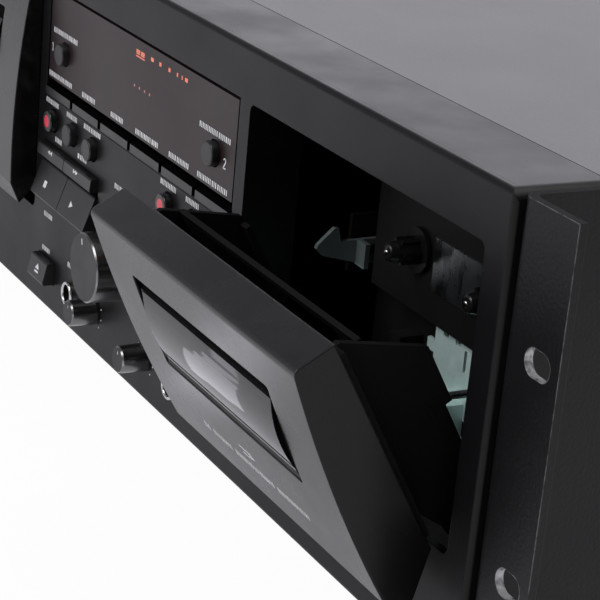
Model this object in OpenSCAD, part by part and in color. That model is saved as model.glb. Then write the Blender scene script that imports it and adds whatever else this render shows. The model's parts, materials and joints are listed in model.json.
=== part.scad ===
// Rack-mount double cassette deck: left door closed, right door open.
// Drawn with x to the right, y into the deck from the panel face and z up from the panel's lower edge.

/* [Cabinet] */
// Width of the body without the rack ears
body_w = 435; // [425:1:445]
// Height of the front panel
panel_h = 132.5; // [130:0.5:140]
// Depth from the panel face to the back of the rear panel
body_d = 280; // [250:5:340]
// Thickness of the panel's front wall
panel_t = 2.5; // [2:0.1:3]
// Depth of the panel's wrap over the top and sides
skirt_d = 28; // [24:1:34]
// Wall of the panel's wrap
skirt_t = 2; // [1.6:0.1:2.4]
// Rounding of the panel's front edges
edge_r = 1.6; // [0.8:0.1:2]
// Corner radius of the panel's outline
corner_r = 3.5; // [2:0.1:5]
// Sheet thickness of cover, chassis and rear panel
sheet_t = 1.2; // [0.8:0.1:1.6]
// Gap between the panel's wrap and the top cover
seam_gap = 0.4; // [0.2:0.1:1]
// Height of the chassis side flanges
flange_h = 24; // [20:1:40]
// Visible height of a foot
foot_h = 5.5; // [3:0.5:12]
// Diameter of a foot
foot_dia = 24; // [18:1:30]
// Distance of the feet from the body's sides and ends
foot_inset = 34; // [20:1:40]

/* [Rack ears] */
// Width over both ears
rack_w = 482.6; // [478:0.1:486]
// Sheet thickness of an ear
ear_t = 2.3; // [1.6:0.1:3]
// Length of an ear's leg along the body's side
ear_leg = 78; // [60:1:120]
// Outer bend radius of an ear
ear_bend = 4; // [3:0.5:5]
// Set-back of an ear's face behind the panel face
ear_set = 1.4; // [0.5:0.1:3]
// Distance from an ear's edge to the middle of its slots
slot_in = 8.75; // [8:0.05:9.5]
// Distance between the slots of one ear
slot_z = 57.15; // [50:0.05:76.2]
// Length of a rack slot
slot_l = 10.4; // [9:0.1:12]
// Radius of a rack slot's ends
slot_r = 3.6; // [3:0.1:4]

/* [Cassette bays] */
// Distance of a bay's centre from the middle of the panel
bay_x = 144.65; // [142:0.05:148]
// Width of a bay
bay_w = 126; // [122:0.5:128]
// Height of the panel strip below the bays
bay_base = 33.5; // [32:0.5:36]
// Height of the panel strip above the bays and the display
bay_top = 16; // [14:0.5:20]
// Corner radius of a bay
bay_r = 2.5; // [1:0.1:4]
// Depth of the walls round a bay, from the panel face
bay_depth = 18; // [12:0.5:19]
// Thickness of the walls round a bay
bay_wall = 2; // [1.5:0.1:2.5]

/* [Doors] */
// Gap between a door and its bay
door_gap = 0.8; // [0.5:0.1:1.2]
// Depth of a door's back face behind the panel face
door_set = 7.8; // [6.5:0.1:9]
// Greatest thickness of a door
door_t = 17.3; // [15:0.1:19]
// Radius of a door's bowed front
door_bow = 370; // [250:5:600]
// Distance from a door's top to its thickest place
door_crown = 62; // [50:1:66]
// Height of the bevel on a door's back above the bay's lower edge
door_rise = 15.2; // [14:0.1:20]
// Wall of a door's shell
door_wall = 2.6; // [2:0.1:3.2]
// Rounding of a door's lower front edge
nose_r = 2.4; // [1.5:0.1:3.5]
// Rounding of a door's top front edge
door_top_r = 2; // [1:0.1:3]
// Opening angle of a door
door_open = 30; // [20:1:32]
// Width of a door's window opening
window_w = 83; // [70:1:95]
// Height of a door's window opening
window_h = 30.5; // [28:0.5:34]
// Distance from a door's top to the middle of its window
window_s = 28.3; // [26:0.1:30]
// Thickness of a window pane
pane_t = 2; // [1.5:0.1:2.5]
// Clearance round a window pane
pane_gap = 0.2; // [0.1:0.05:0.4]

/* [Cassette holders] */
// Depth of the hinge axis behind the panel face
hinge_y = 25.3; // [24:0.1:27]
// Height of the hinge axis above the panel's lower edge
hinge_z = 19.6; // [18:0.1:21]
// Radius of a hinge pin
hinge_r = 2; // [1.5:0.1:2.5]
// Running clearance of pins and shafts, on the radius
run_gap = 0.06; // [0.02:0.01:0.1]
// Clear width of a cassette pocket
pocket_w = 102; // [101:0.5:104]
// Clear depth of a cassette pocket
pocket_d = 12.6; // [12.2:0.1:13.5]
// Wall of the holder's sides and shelves
holder_t = 2.2; // [1.6:0.1:2.5]
// Thickness of the holder's carrier and guide plates
carrier_t = 1.6; // [1.2:0.1:2]
// Depth of the holder's back edge behind the panel face
holder_y = 31.7; // [30.5:0.1:33]
// Drop from the reel axes to the cassette's lower edge
cassette_drop = 35.2; // [33:0.1:38]

/* [Mechanism] */
// Height of the reel axes above the panel's lower edge
reel_z = 83.6; // [80:0.1:86]
// Distance between the two reel axes of a deck
reel_pitch = 42.5; // [42:0.1:43]
// Depth of the reel plate's face behind the panel face
reel_y = 36; // [35:0.1:39]
// Thickness of the mechanism's plates
plate_t = 1.6; // [1.2:0.1:2]
// Depth of the mechanism's frame plate behind the reel plate
frame_gap = 10; // [8:0.5:14]
// Radius of a reel shaft
reel_shaft_r = 1.5; // [1:0.1:2]
// Radius of a reel hub
reel_hub_r = 4.1; // [3.5:0.1:4.6]
// Radius of a reel's flange
reel_flange_r = 6.6; // [5.5:0.1:8]
// Length of a reel hub in front of the reel plate
reel_len = 10.7; // [9:0.1:11.5]
// Width of the reflector plate between the reels
mirror_w = 25; // [18:0.5:26]
// Height of the reflector plate between the reels
mirror_h = 15.6; // [12:0.2:18]
// Width of a head slide
slide_w = 70; // [62:1:74]
// Sheet thickness of a head slide
slide_t = 1.2; // [1:0.1:1.6]
// Radius of a capstan
capstan_r = 1.1; // [0.9:0.1:1.3]
// Sideways distance of a capstan from the middle of its deck
capstan_x = 21; // [19:0.5:24]
// Height of a capstan above the cassette's lower edge
capstan_up = 9; // [8:0.2:10]
// Radius of a flywheel
flywheel_r = 20; // [16:0.5:24]
// Thickness of a flywheel
flywheel_t = 6; // [4:0.5:8]
// Radius of a latch lever's pivot
latch_r = 1.5; // [1.2:0.1:2]

/* [Display and keys] */
// Width of the display window
display_w = 150.4; // [146:0.2:152]
// Height of the display window
display_h = 32.3; // [30:0.1:34]
// Height of a function key
fkey_h = 3.9; // [3:0.1:4.4]
// Gap between the display window and the function keys
fkey_slot = 1.8; // [1:0.1:2.5]
// Clearance round the keys and buttons
key_gap = 0.4; // [0.3:0.05:0.6]
// Travel of a key
key_travel = 1.2; // [0.8:0.1:1.5]
// Radius of a round key
round_r = 3.9; // [2.8:0.1:4.2]
// Drop from the function keys' lower edge to the round keys' centres
round_drop = 8.6; // [8:0.1:10]
// Distance from the panel's middle to the nearest round key
round_x = 31; // [29:0.5:33]
// Distance between round keys
round_pitch = 18; // [16:0.5:18.5]
// Distance from the panel's middle to the reset buttons
reset_x = 60.3; // [54:0.1:64]
// Height of the reset buttons above the display's lower edge
reset_up = 11.2; // [9:0.1:20]
// Distance from the panel's middle to the transport keys
keys_x = 25; // [23:0.5:27]
// Width of a transport key
key_w = 24.3; // [22:0.1:24.6]
// Drop from the round keys' centres to the top of the transport keys
keys_drop = 8.8; // [8:0.1:10]
// Gap between the upper and the lower transport keys
key_seam = 1; // [0.6:0.1:1.6]
// Height of the stop and play keys
play_h = 13.4; // [12:0.1:14]
// Height of the rewind and forward keys
wind_h = 4.7; // [4:0.1:5.2]
// Distance from the panel's middle to the eject buttons
eject_x = 67; // [62:0.5:70]
// Height of the eject buttons' centres
eject_z = 15; // [13:0.5:20]
// Width of an eject button
eject_w = 15; // [10:0.5:18]
// Height of an eject button
eject_h = 8; // [6:0.5:9]
// Distance from the panel's middle to the power button
power_x = 196; // [190:0.5:200]
// Side of the power button
power_w = 12; // [9:0.5:14]

/* [Knobs and jacks] */
// Radius of the level knob
level_r = 12; // [9:0.5:13]
// Length of the level knob
level_l = 13.5; // [10:0.5:16]
// Height of the level knob's axis
level_z = 39.4; // [37:0.1:41]
// Radius of a small knob
trim_r = 4.8; // [3.6:0.1:5.4]
// Length of a small knob
trim_l = 9; // [7:0.5:11]
// Distance from the panel's middle to the small knobs
trim_x = 21.8; // [20:0.1:24]
// Height of the small knobs' axes
trim_z = 15; // [14:0.1:16]
// Gap between a knob and the panel
knob_gap = 0.8; // [0.5:0.1:1.2]
// Radius of a knob's shaft
shaft_r = 3; // [2:0.1:3]
// Distance from the panel's middle to the phone jacks
jack_x = 43.5; // [42:0.1:46]
// Height of the phone jacks' axes
jack_z = 13.5; // [12:0.1:15]
// Radius of a phone jack's bore
jack_r = 3.2; // [3.15:0.05:3.3]
// Depth of a phone jack's bore behind the panel face
jack_d = 30; // [26:1:34]

/* [Boards and supply] */
// Depth of the control board behind the panel face
board_y = 16; // [15:0.5:18]
// Thickness of the circuit boards
board_t = 1.6; // [1:0.1:2]
// Depth of the main board
board_l = 158; // [130:1:165]
// Height of the main board above the chassis floor
board_up = 8; // [6:0.5:12]
// Distance of the transformer from the middle
supply_x = 120; // [115:1:130]
// Width of the transformer's core
core_w = 64; // [54:1:68]
// Depth of the transformer's core
core_d = 36; // [30:1:42]
// Height of the transformer's core
core_h = 54; // [46:1:58]
// Length of a line jack behind the rear panel
line_out = 9; // [7:0.5:11]

/* [Hidden] */
$fn = 48;
CHARCOAL = "#26272a";
BLACK = "#151617";
ZINC = "#a9b3ac";
STEEL = "#b9bcc0";
// Reach of a cut past a face, and overlap of shapes that make one solid
cut = 1;
weld = 0.2;

// Cabinet
side_x = body_w / 2;
slot_x = rack_w - 2 * slot_in;
floor_z = skirt_t;
floor_top = floor_z + sheet_t;
cover_y = skirt_d + seam_gap;
rear_y = body_d - sheet_t;

// Bays and doors, in the closed place
bay_z1 = panel_h - bay_top;
bay_z0 = bay_base;
bay_h = bay_z1 - bay_z0;
bay_zc = (bay_z0 + bay_z1) / 2;
seat_gap = 0.05;
door_w = bay_w - 2 * door_gap;
door_z1 = bay_z1 - door_gap;
door_back = door_z1 - bay_z0 - door_rise;
bow_y = door_set - door_t + door_bow;
bow_z = door_z1 - door_crown;
top_round = [bow_y - sqrt(pow(door_bow - door_top_r, 2) - pow(door_crown - door_top_r, 2)),
             door_z1 - door_top_r];
window_tilt = asin((door_crown - window_s) / door_bow);
window_y = bow_y - door_bow * cos(window_tilt);
window_z = door_z1 - window_s;
chin_drop = 73;
chin_lean = 24.5;
chin_z = door_z1 - chin_drop;
chin_y = bow_y - sqrt(pow(door_bow, 2) - pow(chin_z - bow_z, 2));
pane_edge = door_wall + pow(window_h, 2) / (8 * door_bow) + pane_gap;
window_round = 1.2;
pane_set = 0.2;
pane_lip = 2;
pane_top = 5;
pane_low = 2.8;
pane_peak = 4.5;
pane_r = 120;

// Cassette holders and mechanisms
pocket_y1 = holder_y - carrier_t;
pocket_y0 = pocket_y1 - pocket_d;
cassette_z = reel_z - cassette_drop;
ear_x = pocket_w / 2 + holder_t;
cheek_x = ear_x + 1.6;
cheek_r = 6;
knuckle_r = 5;
guide_low = 7.5;
pin_root = 0.5;
frame_y = reel_y + plate_t + frame_gap;
frame_w = bay_w - 4;
frame_up = 6;
frame_foot = 16;
reel_x0 = -frame_w / 2 + 15;
reel_x1 = frame_w / 2 - 4;
reel_plate_z = reel_z - 18.5;
reel_plate_up = 2;
post_r = 3;
post_in = 7;
mirror_t = 0.8;
mirror_drop = 1.2;
latch_x = cheek_x + plate_t / 2 + 0.3;
latch_arm = 5;
latch_y = reel_y + latch_arm;
latch_z = reel_z - 11.5;
latch_room = 2.8;
latch_low = 4.4;
latch_high = 3.3;
latch_tab = 6;
capstan_z = cassette_z + capstan_up;
bearing_r = 4;
bearing_l = 4;
motor_l = 9;

// Head slides: wings below the reel plate and a notched crest behind its lower edge
slide_gap = 0.3;
slide_y = reel_y + plate_t + slide_gap;
slide_z0 = cassette_z - 6;
crest_left = 11.3;
crest_right = 14;
crest_up = 2.5;
crest_tab = [3.8, 3.5];
tab_drop = 5.6;
notch_x = [-5.8, 0.5];
slit_x = 5;
slit_h = 6.6;
notch_w = 2.6;
guide_w = 6;
guide_drop = 4;
guide_h = 14;
runner_w = 4;
runner_h = 2;
runner_up = 2;
slide_z1 = slide_z0 + runner_h + 2 * runner_up;
head_w = 14;
head_h = 10;
head_foot = 3;
head_foot_t = 2;

// Display and keys
display_z1 = bay_z1;
display_z0 = display_z1 - display_h;
display_gap = 1.1;
display_set = 0.2;
ledge = 3;
ledge_t = 2;
fkey_n = 6;
fkey_z1 = display_z0 - fkey_slot;
fkey_z0 = fkey_z1 - fkey_h;
fkey_pitch = display_w / fkey_n;
fkey_seam = 2.2;
key_root = 2;
fkey_proud = 0.8;
fkey_face = 2.8;
fkey_set = 1.2;
round_z = fkey_z0 - round_drop;
wind_z = round_z - keys_drop - wind_h;
play_z = wind_z - key_seam - play_h;
stem_w = 4;
stem_h = 2.8;
stem_gap = 0.3;
stem_y = board_y - key_travel - stem_gap;
keys_w = 2 * key_w + 2 * key_gap;
reset_z = display_z0 + reset_up;
pot_y = 8;
pot_bore = 4;
bush_wall = 1;
bush_gap = 0.1;
level_pot_r = 8;
trim_pot_r = 6;
jack_wall = 0.6;
jack_rim = 0.95;
jack_out = 1.4;
jack_box = 15;

// Screws, as depth and height on the body's sides
screw_r = 1.5;
screw_gap = 0.1;
screw_edge = 31.8;
ear_screws = [for (y = [skirt_d + 18, ear_leg - 12], z = [screw_edge, panel_h - screw_edge]) [y, z]];
cover_screws = [for (y = [body_d / 2, body_d - 40]) [y, flange_h / 2]];

// Boards, inlet and line jacks
board_x0 = -side_x + 25;
board_x1 = 40;
board_y1 = rear_y - 1;
board_y0 = board_y1 - board_l;
board_z = floor_top + board_up;
standoff_r = 2.5;
standoff_in = 5;
board_lift = 0.5;
board_rise = 8;
standoff_z = [floor_top + standoff_r + 1, display_z1 + ledge + standoff_r + 0.5];
unit_w = 92;
supply_y = body_d / 2 + 20;
core_lug = 10;
core_foot = 2;
coil_w = 40;
coil_h = 36;
coil_out = 9.5;
inlet_x = supply_x + 50;
inlet_z = 34;
inlet_w = 27;
inlet_h = 20;
inlet_d = 22;
inlet_lip = 2.5;
inlet_wall = 1.5;
inlet_pin = 9;
line_r = 4.1;
line_block = [62, 12, 36];
line_x = board_x0 + 12;
line_places = [for (i = [0:3], k = [0, 1]) [line_x + 10 + 14 * i, board_z + board_t + 10 + 15 * k]];

// Overall depth, from the open door's top edge to the line jacks
open_top = turned(top_round, door_open);
mid_y = (open_top[0] - door_top_r + body_d + line_out) / 2;

// A point of a door's side view turned open about the hinge
function turned(p, a) = [
    hinge_y + (p[0] - hinge_y) * cos(a) - (p[1] - hinge_z) * sin(a),
    hinge_z + (p[0] - hinge_y) * sin(a) + (p[1] - hinge_z) * cos(a)
];
function deck_x(deck) = deck == 1 ? -bay_x : bay_x;

// Puts the panel's frame into the part's frame
module place() {
    translate([0, -mid_y, foot_h]) children();
}

module at_deck(deck) {
    translate([deck_x(deck), 0, 0]) children();
}

// Door pieces of deck 2 rest open
module at_door(deck) {
    translate([deck_x(deck), hinge_y, hinge_z])
        rotate([deck == 2 ? door_open : 0, 0, 0])
            translate([0, -hinge_y, -hinge_z]) children();
}

module slab(x, y, z) {
    translate([x[0], y[0], z[0]]) cube([x[1] - x[0], y[1] - y[0], z[1] - z[0]]);
}

module round_rect(w, h, r) {
    square([w - 2 * r, h], center = true);
    square([w, h - 2 * r], center = true);
    for (x = [-1, 1], y = [-1, 1]) translate([x * (w / 2 - r), y * (h / 2 - r)]) circle(r);
}

// Rounded plate facing the front, centred at x and z
module face_plate(x, z, w, h, r, y) {
    translate([x, y[1], z]) rotate([90, 0, 0]) linear_extrude(y[1] - y[0]) round_rect(w, h, r);
}

// Cylinder along y
module rod(x, z, r, y) {
    translate([x, y[1], z]) rotate([90, 0, 0]) cylinder(r = r, h = y[1] - y[0]);
}

// Side view, drawn in y and z, made w wide about x
module wide(w, x = 0) {
    translate([x - w / 2, 0, 0]) rotate([90, 0, 90]) linear_extrude(w) children();
}

// Rectangle from y = 0 whose two front corners are round
module front_round(w, d, r) {
    translate([-w / 2, r]) square([w, d - r]);
    translate([-w / 2 + r, 0]) square([w - 2 * r, d]);
    for (side = [-1, 1]) translate([side * (w / 2 - r), r]) circle(r);
}

// The same shape in a side view, from its front at y = 0
module side_round(h, d, r) {
    rotate(90) mirror([0, 1]) front_round(h, d, r);
}

// Front panel: a wall with round edges, and strips seated behind it
module panel_corners(y) {
    face_plate(0, panel_h / 2, 2 * side_x, panel_h, corner_r, y);
}

module front_wall() {
    intersection() {
        linear_extrude(panel_h) front_round(body_w, skirt_d, edge_r);
        wide(body_w) translate([0, panel_h / 2]) side_round(panel_h, skirt_d, edge_r);
        panel_corners([0, panel_t]);
    }
}

module wrap_strips() {
    y = [panel_t + seat_gap, skirt_d];
    for (z = [0, panel_h - skirt_t]) intersection() {
        slab([-side_x, side_x], y, [z, z + skirt_t]);
        panel_corners(y);
    }
    for (x = [-side_x, side_x - skirt_t]) intersection() {
        slab([x, x + skirt_t], y, [skirt_t + seat_gap, panel_h - skirt_t - seat_gap]);
        panel_corners(y);
    }
}

module bay_strips() {
    half = bay_w / 2;
    y = [panel_t + seat_gap, bay_depth];
    slab([-half - bay_wall, half + bay_wall], y, [bay_z1, bay_z1 + bay_wall]);
    for (x = [-half - bay_wall, half])
        slab([x, x + bay_wall], y, [bay_z0 + bay_r, bay_z1 - seat_gap]);
}

module key_holes() {
    y = [-cut, panel_t + cut];
    slab([-display_w / 2, display_w / 2], y, [fkey_z0 - key_gap, display_z1]);
    for (side = [-1, 1]) {
        x0 = side * (keys_x + keys_w / 2 - key_gap / 2);
        slab([x0 - keys_w / 2 - key_gap, x0 + keys_w / 2 + key_gap], y,
             [play_z - key_gap, wind_z + wind_h + key_gap]);
        for (i = [0:2]) rod(side * (round_x + i * round_pitch), round_z, round_r + key_gap, y);
        slab([side * eject_x - eject_w / 2 - key_gap, side * eject_x + eject_w / 2 + key_gap], y,
             [eject_z - eject_h / 2 - key_gap, eject_z + eject_h / 2 + key_gap]);
        rod(side * jack_x, jack_z, jack_r + jack_wall + bush_gap, y);
        rod(side * trim_x, trim_z, shaft_r + bush_wall + bush_gap, y);
    }
    rod(0, level_z, shaft_r + bush_wall + bush_gap, y);
    slab([-power_x - power_w / 2 - key_gap, -power_x + power_w / 2 + key_gap], y,
         [trim_z - power_w / 2 - key_gap, trim_z + power_w / 2 + key_gap]);
}

module front_panel() {
    color(CHARCOAL) {
        difference() {
            front_wall();
            for (deck = [1, 2])
                face_plate(deck_x(deck), bay_zc, bay_w, bay_h, bay_r, [-cut, panel_t + cut]);
            key_holes();
        }
        wrap_strips();
        for (deck = [1, 2]) at_deck(deck) bay_strips();
    }
}

// Cabinet
module side_holes(points, r) {
    for (p = points, side = [-1, 1])
        translate([side * side_x, p[0], p[1]]) rotate([0, 90, 0]) cylinder(r = r, h = 20, center = true);
}
module top_cover() {
    color(CHARCOAL) difference() {
        slab([-side_x, side_x], [cover_y, body_d], [0.5, panel_h]);
        slab([-side_x + sheet_t, side_x - sheet_t], [cover_y - cut, body_d + cut],
             [-cut, panel_h - sheet_t]);
        side_holes(concat(ear_screws, cover_screws), screw_r + screw_gap);
    }
}

module bottom_chassis() {
    x = side_x - sheet_t;
    color("#8d9196") difference() {
        union() {
            slab([-x + 1, x - 1], [panel_t + 4, cover_y + cut], [floor_z, floor_top]);
            slab([-x, x], [cover_y, rear_y], [floor_z, floor_top]);
            for (side = [-1, 1])
                slab([side > 0 ? x - sheet_t : -x, side > 0 ? x : -x + sheet_t], [cover_y, rear_y],
                     [floor_z, flange_h]);
            for (x = [board_x0 + 6, board_x1 - 6], y = [board_y0 + 6, board_y1 - 6])
                translate([x, y, floor_z]) cylinder(r = 3, h = board_up + sheet_t);
        }
        side_holes(cover_screws, screw_r + screw_gap);
    }
}
module rear_panel() {
    x = side_x - sheet_t;
    color("#2f3033") difference() {
        slab([-x, x], [rear_y, body_d], [floor_z, panel_h - sheet_t]);
        for (p = line_places) rod(p[0], p[1], line_r + 0.4, [rear_y - cut, body_d + cut]);
        slab([inlet_x - inlet_w / 2 - 0.2, inlet_x + inlet_w / 2 + 0.2], [rear_y - cut, body_d + cut],
             [inlet_z - inlet_h / 2 - 0.2, inlet_z + inlet_h / 2 + 0.2]);
    }
}

module ear_outline() {
    translate([0, ear_bend]) square([ear_t, ear_leg - ear_bend]);
    translate([ear_bend, 0]) square([rack_w / 2 - side_x - ear_bend, ear_t]);
    intersection() {
        translate([ear_bend, ear_bend]) difference() {
            circle(ear_bend);
            circle(ear_bend - ear_t);
        }
        square(ear_bend);
    }
}

module rack_slot() {
    for (end = [-1, 1]) rod(end * (slot_l / 2 - slot_r), 0, slot_r, [-cut, ear_t + cut]);
    slab([-slot_l / 2 + slot_r, slot_l / 2 - slot_r], [-cut, ear_t + cut], [-slot_r, slot_r]);
}

module rack_ears() {
    color(CHARCOAL) for (side = [0, 1]) mirror([side, 0, 0]) difference() {
        translate([side_x, ear_set, 0.5]) linear_extrude(panel_h - 1) ear_outline();
        for (end = [-1, 1]) translate([slot_x / 2, ear_set, panel_h / 2 + end * slot_z / 2]) rack_slot();
        side_holes(ear_screws, screw_r + screw_gap);
    }
}

// Pan-head screw pointing towards the middle from a side at x
module screw(x, p, grip) {
    for (side = [0, 1]) mirror([side, 0, 0]) translate([x, p[0], p[1]]) rotate([0, 90, 0]) {
        cylinder(r = 2 * screw_r, h = 1.7);
        translate([0, 0, -grip]) cylinder(r = screw_r, h = grip + 0.5);
    }
}

module screws() {
    color(BLACK) {
        for (p = ear_screws) screw(side_x + ear_t, p, ear_t + sheet_t);
        for (p = cover_screws) screw(side_x, p, 2 * sheet_t);
    }
}

module feet() {
    color(BLACK) for (x = [-1, 1], y = [foot_inset + skirt_d, body_d - foot_inset])
        translate([x * (side_x - foot_inset), y, -foot_h]) rotate_extrude() {
            square([foot_dia / 2 - 1.5, foot_h + floor_z]);
            translate([0, 1.5]) square([foot_dia / 2, foot_h + floor_z - 1.5]);
            translate([foot_dia / 2 - 1.5, 1.5]) circle(1.5);
        }
}

// Display, boards and rear parts
module display_window() {
    half = display_w / 2;
    color([0.06, 0.05, 0.05, 0.85]) difference() {
        union() {
            slab([-half + display_gap, half - display_gap], [display_set, panel_t + weld],
                 [display_z0, display_z1 - display_gap]);
            slab([-half - ledge, half + ledge], [panel_t, panel_t + ledge_t],
                 [display_z0, display_z1 + ledge]);
        }
        for (side = [-1, 1])
            rod(side * reset_x, reset_z, round_r + key_gap, [-cut, panel_t + ledge_t + cut]);
    }
}

module pot(x, z, r) {
    difference() {
        union() {
            rod(x, z, r, [pot_y, board_y + weld]);
            rod(x, z, shaft_r + bush_wall, [display_set, pot_y + weld]);
        }
        rod(x, z, shaft_r + run_gap, [-cut, pot_y + pot_bore]);
    }
}

module control_board() {
    half = display_w / 2;
    difference() {
        slab([-half - ledge, half + ledge], [board_y, board_y + board_t],
             [floor_top + board_lift, display_z1 + board_rise]);
        for (side = [-1, 1])
            slab([side * jack_x - jack_box / 2 - 1, side * jack_x + jack_box / 2 + 1],
                 [0, board_y + 5], [0, jack_z + jack_box / 2 + 0.5]);
    }
    for (side = [-1, 1], z = standoff_z)
        rod(side * (half - standoff_in), z, standoff_r, [panel_t, board_y + weld]);
    slab([-unit_w, unit_w] / 2, [panel_t + ledge_t + 3, board_y + weld], [display_z0 + 5, display_z1 - 4]);
    pot(0, level_z, level_pot_r);
    for (side = [-1, 1]) pot(side * trim_x, trim_z, trim_pot_r);
}

module main_board() {
    top = board_z + board_t;
    capacitor = [7, 24];
    capacitor_pitch = 26;
    chip = [22, 10, 4];
    chip_pitch = 45;
    heatsink = [5, 70, 34];
    slab([board_x0, board_x1], [board_y0, board_y1], [board_z, top]);
    for (i = [0:3])
        translate([board_x1 - 25, board_y0 + 25 + capacitor_pitch * i, top - weld])
            cylinder(r = capacitor[0] + i % 2 * 2, h = capacitor[1] + i % 2 * 6);
    for (i = [0:2]) translate([board_x0 + 30 + chip_pitch * i, board_y0 + 50, top - weld]) cube(chip);
    translate([board_x1 - 75, board_y0 + 30, top - weld]) cube(heatsink);
}

module circuit_boards() {
    color("#2d5a3c") {
        control_board();
        main_board();
    }
}

module power_transformer() {
    translate([supply_x, supply_y, floor_top]) {
        color("#5b5d61") {
            slab([-core_w, core_w] / 2, [-core_d, core_d] / 2, [0, core_h]);
            slab([-core_w / 2 - core_lug, core_w / 2 + core_lug], [-core_d, core_d] / 2, [0, core_foot]);
        }
        color("#c9b56a") slab([-coil_w, coil_w] / 2, [-core_d / 2 - coil_out, core_d / 2 + coil_out],
                              [core_h - coil_h, core_h + coil_h] / 2);
    }
}

module power_inlet() {
    color(BLACK) difference() {
        union() {
            slab([inlet_x - inlet_w / 2, inlet_x + inlet_w / 2], [body_d - inlet_d, body_d + 0.5],
                 [inlet_z - inlet_h / 2, inlet_z + inlet_h / 2]);
            face_plate(inlet_x, inlet_z, inlet_w + 22, inlet_h + 6, 4, [body_d, body_d + inlet_lip]);
        }
        slab([inlet_x - inlet_w / 2 + inlet_wall, inlet_x + inlet_w / 2 - inlet_wall],
             [body_d - inlet_d + 4, body_d + inlet_lip + cut],
             [inlet_z - inlet_h / 2 + inlet_wall, inlet_z + inlet_h / 2 - inlet_wall]);
    }
    color(STEEL) for (p = [[-7, -2], [0, 2], [7, -2]])
        translate([inlet_x + p[0], body_d - inlet_d + 3, inlet_z + p[1]])
            slab([-1, 1], [0, inlet_pin], [-2, 2]);
}

module line_jacks() {
    color("#b9a15a") difference() {
        union() {
            translate([line_x, rear_y - line_block[1], board_z + board_t]) cube(line_block);
            for (p = line_places) rod(p[0], p[1], line_r, [rear_y - cut, body_d + line_out]);
        }
        for (p = line_places) rod(p[0], p[1], 1.7, [rear_y - 4, body_d + line_out + cut]);
    }
}

module front_jacks() {
    color(STEEL) for (side = [-1, 1]) translate([side * jack_x, 0, jack_z]) difference() {
        union() {
            rod(0, 0, jack_r + jack_rim, [-jack_out, 0]);
            rod(0, 0, jack_r + jack_wall, [-weld, panel_t + weld]);
            slab([-jack_box, jack_box] / 2, [panel_t, jack_d + 2], [-jack_box, jack_box] / 2);
        }
        rod(0, 0, jack_r, [-jack_out - cut, jack_d]);
    }
}

// Mechanisms
module hinge_cheek(side) {
    wide(plate_t, side * (cheek_x + plate_t / 2)) {
        translate([hinge_y, floor_top])
            square([frame_y - hinge_y + plate_t, hinge_z - floor_top + cheek_r]);
        translate([hinge_y, hinge_z]) circle(cheek_r);
    }
    translate([side > 0 ? pocket_w / 2 : -cheek_x - pin_root, hinge_y, hinge_z]) rotate([0, 90, 0])
        cylinder(r = hinge_r, h = cheek_x + pin_root - pocket_w / 2);
}

module frame_plate() {
    slab([-frame_w, frame_w] / 2, [frame_y, frame_y + plate_t], [floor_top, bay_z1 + frame_up]);
    slab([-frame_w, frame_w] / 2, [frame_y, frame_y + frame_foot], [floor_top, floor_top + plate_t]);
    rod(capstan_x, capstan_z, bearing_r, [frame_y - bearing_l, frame_y + weld]);
}

// Plate that carries the reels, on posts from the frame plate
module reel_plate() {
    slab([reel_x0, reel_x1], [reel_y, reel_y + plate_t], [reel_plate_z, bay_z1 + reel_plate_up]);
    for (x = [reel_x0 + post_in, reel_x1 - post_in], z = [reel_plate_z + post_in, bay_z1 - post_in])
        rod(x, z, post_r, [reel_y + weld, frame_y + weld]);
}

module latch_bracket() {
    x = -latch_x - latch_room;
    slab([x - plate_t, x], [latch_y - 6, frame_y + weld], [latch_z - 8, latch_z + 10]);
    translate([x - weld, latch_y, latch_z]) rotate([0, 90, 0])
        cylinder(r = latch_r, h = latch_room + plate_t / 2 + 0.6 + weld);
}

module slide_guide(side) {
    slab([side * slide_w / 2 - guide_w / 2, side * slide_w / 2 + guide_w / 2],
         [slide_y + slide_t + slide_gap, frame_y + weld],
         [slide_z0 - guide_drop, slide_z0 - guide_drop + guide_h]);
}

module mechanism() {
    difference() {
        union() {
            frame_plate();
            reel_plate();
            latch_bracket();
            for (side = [-1, 1]) {
                hinge_cheek(side);
                slide_guide(side);
            }
        }
        for (side = [-1, 1])
            rod(side * reel_pitch / 2, reel_z, reel_shaft_r + run_gap, [0, frame_y + frame_foot]);
        rod(capstan_x, capstan_z, capstan_r + run_gap, [0, frame_y + frame_foot]);
    }
}

module mechanism_plates() {
    color(BLACK) for (deck = [1, 2]) at_deck(deck) mechanism();
}

module reel_reflectors() {
    color(STEEL) for (deck = [1, 2]) at_deck(deck) translate([0, 0, reel_z - mirror_drop])
        slab([-mirror_w, mirror_w] / 2, [reel_y - mirror_t, reel_y], [-mirror_h, mirror_h] / 2);
}

// Ribbed hub with a cone tip, turning on a shaft through both plates
module reel(deck, side) {
    lift = 0.4;
    flange_t = 1.2;
    tip_l = 2.2;
    tip_r = 2.6;
    barrel_r = reel_hub_r - 0.9;
    barrel_l = reel_len - tip_l - lift;
    rib_w = 1.1;
    color(BLACK) translate([deck_x(deck) + side * reel_pitch / 2, reel_y, reel_z]) rotate([90, 0, 0]) {
        translate([0, 0, -plate_t - frame_gap + 1]) cylinder(r = reel_shaft_r, h = plate_t + frame_gap);
        translate([0, 0, lift]) {
            cylinder(r = reel_flange_r, h = flange_t);
            cylinder(r = barrel_r, h = barrel_l);
            translate([0, 0, barrel_l]) cylinder(r1 = barrel_r, r2 = tip_r, h = tip_l);
            for (a = [0:60:300]) rotate(a)
                translate([0, -rib_w / 2, 0]) cube([reel_hub_r, rib_w, barrel_l - 1]);
        }
    }
}

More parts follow.
